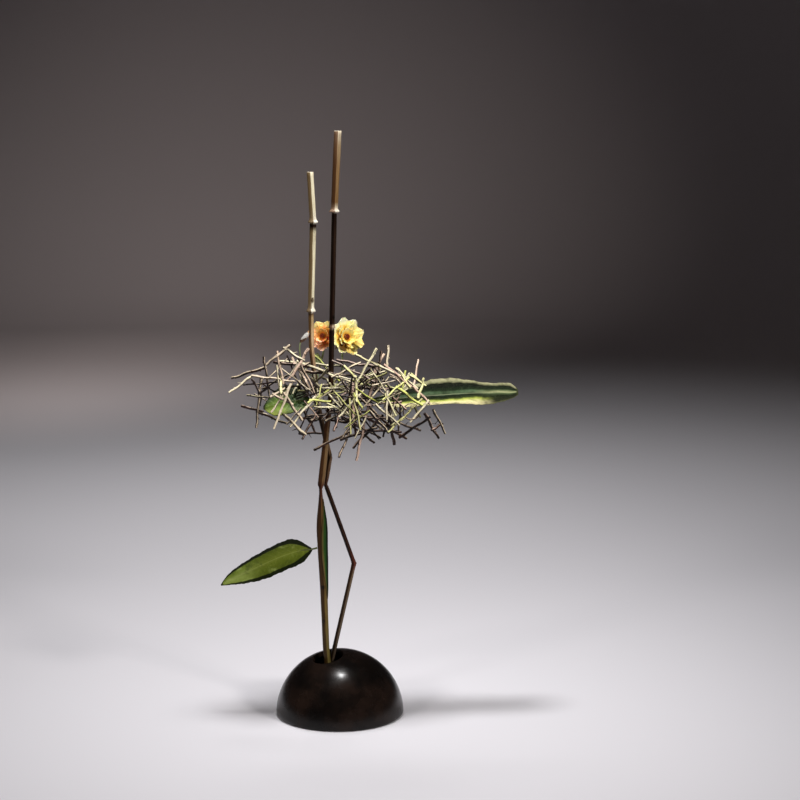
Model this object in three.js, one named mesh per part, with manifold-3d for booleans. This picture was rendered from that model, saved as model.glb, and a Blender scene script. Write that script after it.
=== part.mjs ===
// Ikebana arrangement: two hollow jointed canes stand on a pin holder in a dark domed vase. They carry
// a loose nest of short crossed twigs with two blooms, a bud and two leaves in it, and a third leaf below.
// Millimetres, +Z up. The origin is the middle of the vase's flat underside, and the front looks along -Y.

import * as THREE from "three";
import { mergeVertices } from "three/addons/utils/BufferGeometryUtils.js";
import Module from "manifold-3d";

const wasm = await Module();
wasm.setup();

// What stands close keeps this gap.
const clearance = 0.35;

// The vase is a half sphere with a thick wall, a flat foot and a mouth set off its middle.
const vase = {
  radius: 80,
  wall: 6,
  footBevel: 2.5,
  mouthX: -15,
  mouthY: -11,
  mouthRadius: 17,
  lipRound: 2.5,
};

// The pin holder lies on the vase's floor below the mouth.
const pinHolder = { x: -16.5, y: -9, radius: 15, height: 8, pinHeight: 9, pinRadius: 0.9, pinSpacing: 4.2 };
const pinHolderTop = vase.wall + clearance + pinHolder.height;

// A cane's path gives x, y, z of its centre line, and its girth gives the height, the half width seen from
// the front and the half depth there. Both run straight from one entry to the next, because it is snapped.
const tallCane = {
  path: [
    [-14.6, -14, pinHolderTop + clearance],
    [-14.8, -13.5, 69],
    [-16.5, -12.5, 87],
    [-21.4, -10, 234],
    [-22.2, -9, 288],
    [-18.2, -9, 322],
    [-14.3, -9, 360],
    [-9.2, -9, 403],
    [-7.5, -8, 483],
    [-3.7, -7, 628],
    [1, -6, 724],
  ],
  girth: [
    [0, 4.1, 4.1],
    [120, 4.2, 4.2],
    [165, 4.6, 4.4],
    [203, 5.5, 4.5],
    [234, 6.2, 4.6],
    [250, 5.6, 4.9],
    [268, 3.4, 5.4],
    [282, 2, 5.6],
    [288, 2, 5.4],
    [293, 4.2, 3.9],
    [322, 4.3, 3.7],
    [345, 3.6, 3.5],
    [400, 3.3, 3.3],
    [628, 3.2, 3.2],
    [636, 4.3, 4.3],
    [724, 4.6, 4.6],
  ],
  rings: [
    { z: 488, radius: 4.1 },
    { z: 628, radius: 6.2 },
  ],
};
const shortCane = {
  path: [
    [-22.2, -3, pinHolderTop + clearance],
    [-7.3, -2.5, 80],
    [18.4, -1, 192],
    [-16.6, -1, 292],
    [-10.8, -1, 326],
    [-16.8, -1, 351],
    [-25.2, -1, 391],
    [-32.7, -1, 459],
    [-33, -1, 507],
    [-29.8, 0, 615],
    [-33, 0, 675],
  ],
  girth: [
    [0, 3, 3],
    [186, 2.9, 3.1],
    [192, 3.3, 3.5],
    [198, 2.8, 3.1],
    [286, 2.8, 3.2],
    [292, 2.4, 3.6],
    [300, 3.1, 3],
    [500, 3.2, 3.2],
    [513, 3.8, 3.8],
    [675, 4.1, 4.1],
  ],
  rings: [
    { z: 507, radius: 5.7 },
    { z: 615, radius: 6 },
  ],
};
const caneSides = 12;
const caneWall = 1.2;
const topBore = 12;
const footBore = 14;
const ringSkirt = 7;

// A leaf's spine gives x, y, z and its share of the full width. near and far reach from the spine to the
// two edges at full width. The stalk goes on from the spine's first point.
const lowerLeaf = {
  spine: [
    [-33.5, -10.5, 212, 0.12],
    [-50, -11.5, 210, 0.9],
    [-72, -12.5, 203, 1],
    [-97, -13.5, 192, 0.94],
    [-121, -15, 181, 0.66],
    [-136, -16, 174, 0.36],
    [-146, -17, 168, 0.04],
  ],
  near: [5.5, -5, -16.5],
  far: [-5.5, -2, 16.5],
  wave: 0.9,
  waves: 3,
  stalk: [[-26.85, -10.3, 213.5]],
  stalkRadius: 1.1,
};
const rightLeaf = {
  spine: [
    [42, -9, 398, 0.1],
    [76, -8, 400, 0.72],
    [118, -5, 403, 1],
    [160, -2, 405, 0.94],
    [190, 1, 405, 0.8],
    [211, 3, 405, 0.62],
    [221, 4, 406, 0.2],
  ],
  near: [0, -19, -12.5],
  far: [0, 15, 15],
  wave: -2.2,
  waves: 4,
  stalk: [
    [20, -9, 396],
    [-6.5, -8.8, 394],
  ],
  stalkRadius: 1.3,
};
const leftLeaf = {
  spine: [
    [-33, -12, 397, 0.1],
    [-46, -13, 398, 0.8],
    [-62, -15, 397, 1],
    [-78, -17, 394, 0.8],
    [-91, -19, 390, 0.08],
  ],
  near: [2, -18, -15],
  far: [-2, 15, 17],
  wave: 1.4,
  waves: 2,
  stalk: [[-13.7, -9.5, 396]],
  stalkRadius: 1.3,
};
const leafThickness = 0.9;
const leafCells = { along: 12, across: 4 };

// The sheath leaf lies along the front right of the tall cane between these heights. Its middle is turned
// from +X by turn, and it reaches either way by reach, in radians.
const sheathLeaf = { low: 150, high: 276, turn: -0.62, reach: 1, thickness: 1.1, gap: 0.45 };

// Each bloom's head has its place and the way that it faces. Its stem ends behind a cane.
const rightBloom = {
  place: [9.5, 17, 473],
  facing: [0.52, -0.8, 0.26],
  outer: { count: 8, length: 23.5, halfWidth: 8, cup: 4.6 },
  inner: { count: 5, length: 14.5, halfWidth: 5.4, cup: 7 },
  stem: [
    [4, 27, 452],
    [3, 14, 425],
    [-8.9, -4.7, 401],
  ],
};
const leftBloom = {
  place: [-20, 27, 473],
  facing: [-0.28, -0.9, 0.3],
  outer: { count: 7, length: 18.5, halfWidth: 7.4, cup: 3.8 },
  inner: { count: 5, length: 12, halfWidth: 4.8, cup: 5.6 },
  stem: [
    [-20, 36, 451],
    [-26, 18, 425],
    [-26.4, 3.6, 403],
  ],
};
const petalThickness = 0.8;
const stemRadius = 1.2;
const petalRoot = 2.2;
const core = { radius: 4.6, top: 1.5, bottom: -2 };
const eye = { radius: 3.3, height: 1.9 };

const bud = {
  stalk: [
    [-46, -5.5, 468.5],
    [-46, -5, 450],
    [-41, -2, 433],
    [-32.9, -1, 427],
  ],
  tip: [-36.5, -6.5, 480],
  halfLength: 7.4,
  radius: 2.8,
  stalkRadius: 0.9,
};

// The leading twigs of the nest, from one end to the other: x, y, z, then x, y, z.
const brownTwigs = [
  [-89, -30, 454, -83, -20, 403],
  [-95, 2, 426, -101, -6, 363],
  [-78, -25, 447, -35, -18, 440],
  [-50, -12, 447, 18, -22, 421],
  [-88, -15, 440, -130, -5, 426],
  [-120, 10, 389, -92, 2, 383],
  [-101, 6, 383, -62, -8, 370],
  [-66, -44, 386, -42, -30, 361],
  [-48, -24, 359, -20, -16, 358],
  [-30, -15, 337, 16, -24, 362],
  [2, -16, 350, 48, -14, 365],
  [47, -40, 441, 22, -38, 324],
  [38, -54, 392, 62, -46, 363],
  [56, -22, 369, 84, -14, 351],
  [105, -30, 385, 123, -24, 353],
  [116, -22, 388, 131, -16, 357],
  [-3, -26, 396, 43, -18, 373],
  [53, -26, 461, 46, -30, 415],
  [-2, -14, 447, 47, -28, 439],
];
const paleTwigs = [
  [-56, -36, 469, -86, -30, 444],
  [-34, -38, 465, -54, -44, 432],
  [-55, -50, 424, -76, -52, 369],
  [-80, -48, 407, -62, -48, 418],
  [-104, -32, 431, -50, -40, 425],
  [-104, -28, 430, -131, -36, 411],
  [48, -46, 466, 24, -50, 426],
  [22, -50, 459, 55, -42, 442],
  [61, -38, 469, 60, -42, 438],
  [56, -45, 446, 90, -40, 418],
  [70, -36, 441, 97, -34, 415],
  [87, -26, 431, 107, -28, 418],
  [91, -48, 419, 112, -46, 397],
  [111, -44, 402, 88, -44, 375],
  [8, -42, 445, 25, -46, 427],
  [19, -54, 413, 31, -54, 394],
  [19, -54, 412, 28, -50, 368],
  [46, -57, 400, 75, -50, 373],
  [-34, -38, 402, -8, -36, 400],
  [-64, -44, 386, -38, -38, 360],
  [57, -56, 413, 71, -54, 385],
];
const twigSides = 4;
const thickest = 2;
const thinnest = 1.4;
const gripRadius = 1.7;

// The drawn twigs have their middles inside this lens.
const lens = { x: 24, y: 4, z: 398, halfX: 88, halfY: 46, halfZ: 44 };
const drawnTwigs = 43;
const reachInDepth = 24;
const mostTies = 60;
const longestTie = 62;

// A curled tendril starts on the pale twig whose middle is nearest to this place.
const tendril = { x: 96, y: -44, z: 386, radius: 10, thickness: 1.1, bends: 9 };

const zAxis = new THREE.Vector3(0, 0, 1);
const arrangement = new THREE.Group();

// One seeded draw, repeatable with whole numbers.
let seed = 4711;
function draw(low, high) {
  seed = (seed * 16807) % 2147483647;
  return low + ((high - low) * seed) / 2147483647;
}

function toSolid(geometry) {
  const source = geometry.index ? geometry.toNonIndexed() : geometry;
  const bare = new THREE.BufferGeometry();
  bare.setAttribute("position", source.getAttribute("position").clone());
  const merged = mergeVertices(bare, 1e-4);
  const mesh = new wasm.Mesh({
    numProp: 3,
    vertProperties: merged.attributes.position.array,
    triVerts: new Uint32Array(merged.index.array),
  });
  return new wasm.Manifold(mesh);
}

function toGeometry(solid) {
  const mesh = solid.getMesh();
  const geometry = new THREE.BufferGeometry();
  geometry.setAttribute("position", new THREE.BufferAttribute(mesh.vertProperties, 3));
  geometry.setIndex(new THREE.BufferAttribute(mesh.triVerts, 1));
  return geometry;
}

// The pieces fused into one body. A hollow that the fusing seals is filled, and a loose scrap is dropped.
function joined(geometries) {
  const fused = wasm.Manifold.union(geometries.map(toSolid));
  const bodies = fused.decompose().sort((a, b) => b.volume() - a.volume());
  return toGeometry(bodies[0]);
}

function addPiece(parent, name, geometry, color, roughness, metalness = 0) {
  const material = new THREE.MeshStandardMaterial({ color, roughness, metalness });
  const mesh = new THREE.Mesh(geometry, material);
  mesh.name = name;
  parent.add(mesh);
  return mesh;
}

function indexed(corners, faces) {
  const geometry = new THREE.BufferGeometry();
  geometry.setAttribute("position", new THREE.Float32BufferAttribute(corners.flat(), 3));
  geometry.setIndex(faces);
  return geometry;
}

// A closed skin over rings of corners, with a flat cap at both ends.
function loft(rings) {
  const sides = rings[0].length;
  const last = (rings.length - 1) * sides;
  const faces = [];
  for (let start = 0; start < last; start += sides) {
    for (let side = 0; side < sides; side++) {
      const a = start + side;
      const b = start + ((side + 1) % sides);
      faces.push(a, b, b + sides, a, b + sides, a + sides);
    }
  }
  for (let side = 1; side < sides - 1; side++) {
    faces.push(0, side + 1, side);
    faces.push(last, last + side, last + side + 1);
  }
  return indexed(rings.flat(), faces);
}

// A round rod through the points, whose radius is a number or a function of the way along.
function rod(points, radius, sides, steps) {
  const curve = new THREE.CatmullRomCurve3(points.map((point) => new THREE.Vector3(...point)));
  const frames = curve.computeFrenetFrames(steps, false);
  const rings = [];
  for (let step = 0; step <= steps; step++) {
    const middle = curve.getPointAt(step / steps);
    const size = typeof radius === "number" ? radius : radius(step / steps);
    const ring = [];
    for (let side = 0; side < sides; side++) {
      const angle = (2 * Math.PI * side) / sides;
      const corner = middle.clone();
      corner.addScaledVector(frames.normals[step], size * Math.cos(angle));
      corner.addScaledVector(frames.binormals[step], size * Math.sin(angle));
      ring.push(corner.toArray());
    }
    rings.push(ring);
  }
  return loft(rings);
}

// A thin blade about a middle surface that point(along, across) gives, with along from 0 to 1 and across
// from -1 to 1. Both faces are split into triangles alike.
function blade(point, cellsAlong, cellsAcross, thickness) {
  const nudge = 1e-3;
  const row = cellsAcross + 1;
  const layer = (cellsAlong + 1) * row;
  const upper = [];
  const lower = [];
  for (let i = 0; i <= cellsAlong; i++) {
    for (let j = 0; j <= cellsAcross; j++) {
      const along = Math.min(Math.max(i / cellsAlong, nudge), 1 - nudge);
      const across = -1 + (2 * j) / cellsAcross;
      const middle = point(along, across);
      const ahead = point(along + nudge, across).sub(point(along - nudge, across));
      const aside = point(along, across + nudge).sub(point(along, across - nudge));
      const offset = ahead.cross(aside).normalize().multiplyScalar(thickness / 2);
      upper.push(middle.clone().add(offset).toArray());
      lower.push(middle.clone().sub(offset).toArray());
    }
  }
  const faces = [];
  for (let i = 0; i < cellsAlong; i++) {
    for (let j = 0; j < cellsAcross; j++) {
      const a = i * row + j;
      const b = a + row;
      faces.push(a, b, b + 1, a, b + 1, a + 1);
      faces.push(layer + a, layer + b + 1, layer + b, layer + a, layer + a + 1, layer + b + 1);
    }
  }
  const rim = [];
  for (let j = 0; j < cellsAcross; j++) rim.push(j);
  for (let i = 0; i < cellsAlong; i++) rim.push(i * row + cellsAcross);
  for (let j = cellsAcross; j > 0; j--) rim.push(cellsAlong * row + j);
  for (let i = cellsAlong; i > 0; i--) rim.push(i * row);
  rim.forEach((a, place) => {
    const b = rim[(place + 1) % rim.length];
    faces.push(a, b, layer + b, a, layer + b, layer + a);
  });
  return indexed([...upper, ...lower], faces);
}

// A smooth way through rows of numbers, each row reached at an even step.
function through(rows, along) {
  const at = along * (rows.length - 1);
  const start = Math.min(Math.floor(at), rows.length - 2);
  const t = at - start;
  const before = rows[Math.max(start - 1, 0)];
  const after = rows[Math.min(start + 2, rows.length - 1)];
  return rows[start].map((value, item) => {
    const next = rows[start + 1][item];
    const slopeIn = (next - before[item]) / 2;
    const slopeOut = (after[item] - value) / 2;
    const square = t * t;
    const cube = square * t;
    return (
      value * (2 * cube - 3 * square + 1) +
      next * (3 * square - 2 * cube) +
      slopeIn * (cube - 2 * square + t) +
      slopeOut * (cube - square)
    );
  });
}

// Straight from one row to the next by the number in the given column.
function between(rows, column, value) {
  const inside = rows.findIndex((row) => row[column] > value);
  const end = inside === -1 ? rows.length - 1 : Math.max(inside, 1);
  const [low, high] = [rows[end - 1], rows[end]];
  const share = Math.min(Math.max((value - low[column]) / (high[column] - low[column]), 0), 1);
  return low.map((number, item) => number + (high[item] - number) * share);
}

function vaseGeometry() {
  const outer = [new THREE.Vector2(0, 0), new THREE.Vector2(vase.radius - vase.footBevel, 0)];
  const inner = [new THREE.Vector2(0, vase.wall)];
  const cavity = vase.radius - vase.wall;
  const outerStart = Math.asin(vase.footBevel / vase.radius);
  const innerStart = Math.asin((vase.wall + vase.footBevel) / cavity);
  const outerRows = 11;
  const innerRows = 7;
  inner.push(new THREE.Vector2(Math.sqrt(cavity ** 2 - vase.wall ** 2) - vase.footBevel, vase.wall));
  for (let row = 0; row <= outerRows; row++) {
    const angle = outerStart + ((Math.PI / 2 - outerStart) * row) / outerRows;
    const across = row === outerRows ? 0 : vase.radius * Math.cos(angle);
    outer.push(new THREE.Vector2(across, vase.radius * Math.sin(angle)));
  }
  for (let row = 0; row <= innerRows; row++) {
    const angle = innerStart + ((Math.PI / 2 - innerStart) * row) / innerRows;
    const across = row === innerRows ? 0 : cavity * Math.cos(angle);
    inner.push(new THREE.Vector2(across, cavity * Math.sin(angle)));
  }
  const upright = new THREE.Matrix4().makeRotationX(Math.PI / 2);
  const dome = toSolid(new THREE.LatheGeometry(outer, 40).applyMatrix4(upright));
  const hollow = toSolid(new THREE.LatheGeometry(inner, 24).applyMatrix4(upright));
  return toGeometry(dome.subtract(hollow).subtract(toSolid(mouthCutter())));
}

// What is cut out for the mouth: a plug square to the dome there, which flares at its top to round the lip.
function mouthCutter() {
  const { mouthRadius, lipRound, radius, wall, mouthX, mouthY } = vase;
  const edge = Math.sqrt(radius ** 2 - (mouthRadius + lipRound) ** 2);
  const profile = [new THREE.Vector2(0, radius - 2 * wall), new THREE.Vector2(mouthRadius, radius - 2 * wall)];
  const steps = 4;
  for (let step = 0; step <= steps; step++) {
    const angle = (Math.PI / 2) * (step / steps);
    const across = mouthRadius + lipRound * (1 - Math.cos(angle));
    profile.push(new THREE.Vector2(across, edge - lipRound * (1 - Math.sin(angle))));
  }
  profile.push(new THREE.Vector2(mouthRadius + lipRound, radius + wall), new THREE.Vector2(0, radius + wall));
  const height = Math.sqrt(radius ** 2 - mouthX ** 2 - mouthY ** 2);
  const square = new THREE.Vector3(mouthX, mouthY, height).normalize();
  const turn = new THREE.Quaternion().setFromUnitVectors(new THREE.Vector3(0, 1, 0), square);
  return new THREE.LatheGeometry(profile, 24).applyQuaternion(turn);
}

// The disc with its pins in a close-packed grid. A pin that would meet a cane's wall is left out.
function pinHolderGeometry() {
  const { radius, height, pinHeight, pinRadius, pinSpacing } = pinHolder;
  const disc = new THREE.CylinderGeometry(radius, radius, height, 28).rotateX(Math.PI / 2);
  const parts = [disc.translate(0, 0, height / 2)];
  const rowStep = (pinSpacing * Math.sqrt(3)) / 2;
  const reach = Math.ceil(radius / rowStep);
  for (let row = -reach; row <= reach; row++) {
    for (let place = -reach; place <= reach; place++) {
      const x = (place + (row % 2 ? 0.5 : 0)) * pinSpacing;
      const y = row * rowStep;
      if (Math.hypot(x, y) > radius - 1.5 || meetsWall(x, y)) continue;
      const sunk = 1;
      const pin = new THREE.ConeGeometry(pinRadius, pinHeight + sunk, 4).rotateX(Math.PI / 2);
      parts.push(pin.translate(x, y, height + (pinHeight - sunk) / 2));
    }
  }
  return joined(parts);
}

function meetsWall(x, y) {
  return [tallCane, shortCane].some((cane) => {
    const [footX, footY] = cane.path[0];
    const [, halfWidth] = cane.girth[0];
    const away = Math.hypot(x + pinHolder.x - footX, y + pinHolder.y - footY);
    const room = pinHolder.pinRadius + 0.5;
    return away > halfWidth - caneWall - room && away < halfWidth + room;
  });
}

// A cane from its bored foot up to its bored top, with a flared skirt above each joint ring.
function caneGeometry(cane) {
  const bottom = cane.path[0][2];
  const top = cane.path[cane.path.length - 1][2];
  const ringAt = (z, halfWidth, halfDepth) => {
    const [x, y] = between(cane.path, 2, z);
    const ring = [];
    for (let side = 0; side < caneSides; side++) {
      const angle = (2 * Math.PI * side) / caneSides;
      ring.push([x + halfWidth * Math.cos(angle), y + halfDepth * Math.sin(angle), z]);
    }
    return ring;
  };
  const outside = [];
  for (const [z, halfWidth, halfDepth] of cane.girth) {
    if (z > bottom + 1 && z < top - 1) outside.push([z, halfWidth, halfDepth]);
  }
  for (const [, , z] of cane.path.slice(1, -1)) {
    const [, halfWidth, halfDepth] = between(cane.girth, 0, z);
    if (!outside.some((entry) => Math.abs(entry[0] - z) < 1)) outside.push([z, halfWidth, halfDepth]);
  }
  for (const { z, radius } of cane.rings) {
    const [, under] = between(cane.girth, 0, z - 2);
    const [, over] = between(cane.girth, 0, z + ringSkirt);
    outside.splice(0, outside.length, ...outside.filter((entry) => Math.abs(entry[0] - z) > ringSkirt + 2));
    outside.push([z - 1.6, under, under], [z - 1.2, radius, radius], [z + 0.6, radius, radius]);
    outside.push([z + ringSkirt, over, over]);
  }
  outside.sort((a, b) => a[0] - b[0]);
  const [, footWidth, footDepth] = between(cane.girth, 0, bottom);
  const [, topWidth, topDepth] = between(cane.girth, 0, top);
  return loft([
    ringAt(bottom + footBore, footWidth - caneWall, footDepth - caneWall),
    ringAt(bottom, footWidth - caneWall, footDepth - caneWall),
    ringAt(bottom, footWidth, footDepth),
    ...outside.map((entry) => ringAt(...entry)),
    ringAt(top, topWidth, topDepth),
    ringAt(top, topWidth - caneWall, topDepth - caneWall),
    ringAt(top - topBore, topWidth - caneWall, topDepth - caneWall),
  ]);
}

// The middle surface of a leaf: the spine, the reach to either edge, and a wave that grows to the edges.
function leafPoint(leaf, along, across) {
  const [x, y, z, share] = through(leaf.spine, along);
  const reach = across < 0 ? leaf.near : leaf.far;
  const out = Math.abs(across) * Math.max(share, 0.05);
  const lift = leaf.wave * Math.sin(leaf.waves * Math.PI * along) * across * across * Math.max(share, 0);
  const sag = 0.12 * out * out;
  const side = across < 0 ? -1 : 1;
  return new THREE.Vector3(
    x + reach[0] * out,
    y + reach[1] * out - sag * side * reach[2] + lift * 0.5,
    z + reach[2] * out + sag * side * reach[1] + lift,
  );
}

function leafGeometry(leaf) {
  const point = (along, across) => leafPoint(leaf, along, across);
  const surface = blade(point, leafCells.along, leafCells.across, leafThickness);
  const inLeaf = through(leaf.spine, 0.1).slice(0, 3);
  const root = leaf.spine[0].slice(0, 3);
  const stalk = rod([...leaf.stalk.slice().reverse(), root, inLeaf], leaf.stalkRadius, 5, 6);
  return joined([surface, stalk]);
}

// A slim leaf wrapped round one side of the tall cane, pointed at both ends.
function sheathGeometry() {
  const { low, high, turn, reach, thickness, gap } = sheathLeaf;
  const point = (along, across) => {
    const z = low + (high - low) * along;
    const [x, y] = between(tallCane.path, 2, z);
    const [, halfWidth, halfDepth] = between(tallCane.girth, 0, z);
    const out = gap + thickness / 2;
    const angle = turn + across * reach * Math.max(Math.sin(Math.PI * along), 0.12);
    return new THREE.Vector3(
      x + (halfWidth + out) * Math.cos(angle),
      y + (halfDepth + out) * Math.sin(angle),
      z,
    );
  };
  return blade(point, 10, 4, thickness);
}

// A petal in its bloom's own frame, where +Z is the way that the bloom faces.
function petalGeometry({ length, halfWidth, cup }, cellsAcross, turn, lift, ruffle) {
  const point = (along, across) => {
    const notch = 0.1 * (1 - Math.abs(across)) + 0.16 * across * across;
    const out = petalRoot + length * along * (1 - notch * along ** 3);
    const aside = across * halfWidth * Math.sin(Math.PI * (0.1 + 0.62 * along));
    const height = lift + cup * along * along + ruffle * along * Math.sin(3.4 * across + turn);
    return new THREE.Vector3(out, aside, height);
  };
  return blade(point, 3, cellsAcross, petalThickness).rotateZ(turn);
}

function latheAlongZ(profile, sides) {
  const points = profile.map(([across, up]) => new THREE.Vector2(across, up));
  return new THREE.LatheGeometry(points, sides).rotateX(Math.PI / 2);
}

function petalsGeometry(bloom) {
  const middle = [
    [0, core.bottom],
    [core.radius - 1, core.bottom],
    [core.radius, 0],
    [core.radius - 0.8, core.top],
    [0, core.top],
  ];
  const parts = [latheAlongZ(middle, 10)];
  for (const [layer, cellsAcross, lift, offset] of [
    [bloom.outer, 4, -0.9, 0],
    [bloom.inner, 2, 0.1, 0.35],
  ]) {
    for (let petal = 0; petal < layer.count; petal++) {
      const turn = (2 * Math.PI * (petal + offset)) / layer.count + draw(-0.1, 0.1);
      parts.push(petalGeometry(layer, cellsAcross, turn, lift, draw(0.5, 1.3)));
    }
  }
  return joined(parts);
}

function eyeGeometry() {
  const floor = core.top + clearance;
  const profile = [
    [0, floor],
    [eye.radius - 0.4, floor],
    [eye.radius, floor + 0.6],
    [eye.radius * 0.6, floor + eye.height * 0.85],
    [0, floor + eye.height],
  ];
  return latheAlongZ(profile, 12);
}

// The green cup behind the petals with its sepals, and the stem down into the nest.
function calyxGeometry(bloom, head) {
  const top = core.bottom - clearance;
  const depth = 5;
  const cup = latheAlongZ(
    [
      [0, top - depth],
      [stemRadius + 0.4, top - depth],
      [core.radius - 0.4, top - 1.6],
      [core.radius - 0.2, top],
      [0, top],
    ],
    8,
  );
  const parts = [cup];
  const sepals = 5;
  const length = bloom.outer.length * 0.78;
  for (let sepal = 0; sepal < sepals; sepal++) {
    const point = (along, across) => {
      const aside = across * 2.6 * Math.max(Math.sin(Math.PI * (0.2 + 0.78 * along)), 0.15);
      return new THREE.Vector3(2 + length * along, aside, top - 1.2 + 1.6 * along * along);
    };
    parts.push(blade(point, 3, 2, petalThickness).rotateZ((2 * Math.PI * (sepal + 0.5)) / sepals));
  }
  const back = new THREE.Vector3(0, 0, top - depth + 2);
  const behind = new THREE.Vector3(0, 0, top - depth - 3);
  const way = [back, behind].map((point) => point.applyMatrix4(head.matrixWorld).toArray());
  const stem = rod([...way, ...bloom.stem], stemRadius, 5, 9);
  parts.push(stem.applyMatrix4(head.matrixWorld.clone().invert()));
  return joined(parts);
}

function addBloom(name, bloom, colors) {
  const head = new THREE.Group();
  head.position.set(...bloom.place);
  head.quaternion.setFromUnitVectors(zAxis, new THREE.Vector3(...bloom.facing).normalize());
  arrangement.add(head);
  head.updateMatrixWorld(true);
  addPiece(head, name + "_petals", petalsGeometry(bloom), colors.petals, 0.6);
  addPiece(head, name + "_eye", eyeGeometry(), colors.eye, 0.7);
  addPiece(head, name + "_calyx", calyxGeometry(bloom, head), colors.calyx, 0.6);
}

function budGeometry() {
  const [x, y, z] = bud.stalk[0];
  const along = new THREE.Vector3(bud.tip[0] - x, bud.tip[1] - y, bud.tip[2] - z);
  const body = new THREE.SphereGeometry(1, 8, 8).scale(bud.radius, bud.halfLength, bud.radius);
  const turn = new THREE.Quaternion().setFromUnitVectors(new THREE.Vector3(0, 1, 0), along.clone().normalize());
  const middle = [x + along.x / 2, y + along.y / 2, z + along.z / 2];
  body.applyQuaternion(turn).translate(...middle);
  return joined([body, rod([middle, ...bud.stalk], bud.stalkRadius, 5, 9)]);
}

// The shortest way between two rods' centre lines.
function nearest(one, other) {
  const d1 = [0, 1, 2].map((item) => one.to[item] - one.from[item]);
  const d2 = [0, 1, 2].map((item) => other.to[item] - other.from[item]);
  const r = [0, 1, 2].map((item) => one.from[item] - other.from[item]);
  const a = d1[0] * d1[0] + d1[1] * d1[1] + d1[2] * d1[2];
  const e = d2[0] * d2[0] + d2[1] * d2[1] + d2[2] * d2[2];
  const b = d1[0] * d2[0] + d1[1] * d2[1] + d1[2] * d2[2];
  const c = d1[0] * r[0] + d1[1] * r[1] + d1[2] * r[2];
  const f = d2[0] * r[0] + d2[1] * r[1] + d2[2] * r[2];
  const spread = a * e - b * b;
  let s = spread > 1e-6 ? Math.min(Math.max((b * f - c * e) / spread, 0), 1) : 0;
  let t = (b * s + f) / e;
  if (t < 0 || t > 1) {
    t = Math.min(Math.max(t, 0), 1);
    s = Math.min(Math.max((b * t - c) / a, 0), 1);
  }
  const gap = [0, 1, 2].map((item) => r[item] + d1[item] * s - d2[item] * t);
  return Math.sqrt(gap[0] * gap[0] + gap[1] * gap[1] + gap[2] * gap[2]);
}

function line(from, to, radius, color) {
  return { from, to, radius, color };
}

function linesAlong(points, radius) {
  return points.slice(1).map((point, place) => line(points[place].slice(0, 3), point.slice(0, 3), radius));
}

// What the twigs keep clear of: the canes, the stems and stalks, the heads, and the leaves as lines from
// their stalks to their tips.
function keptClear() {
  const lines = [...linesAlong(tallCane.path, 3.7), ...linesAlong(shortCane.path, 3.3)];
  for (const bloom of [rightBloom, leftBloom]) {
    const [x, y, z] = bloom.place;
    lines.push(line([x, y, z], [x, y + 1, z], bloom.outer.length + 4));
    lines.push(...linesAlong([[x, y + 8, z - 2], ...bloom.stem], stemRadius + 0.5));
  }
  lines.push(...linesAlong([bud.tip, ...bud.stalk], bud.radius));
  for (const leaf of [rightLeaf, leftLeaf]) {
    lines.push(...linesAlong([leaf.spine[0], ...leaf.stalk], leaf.stalkRadius + 0.5));
    for (const across of [-1, -0.67, -0.33, 0, 0.33, 0.67, 1]) {
      const reach = across < 0 ? leaf.near : leaf.far;
      const out = Math.abs(across);
      const edge = leaf.spine.map(([x, y, z, share]) => [
        x + reach[0] * out * share,
        y + reach[1] * out * share,
        z + reach[2] * out * share,
      ]);
      lines.push(...linesAlong(edge, 3.2));
    }
  }
  return lines;
}

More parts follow.
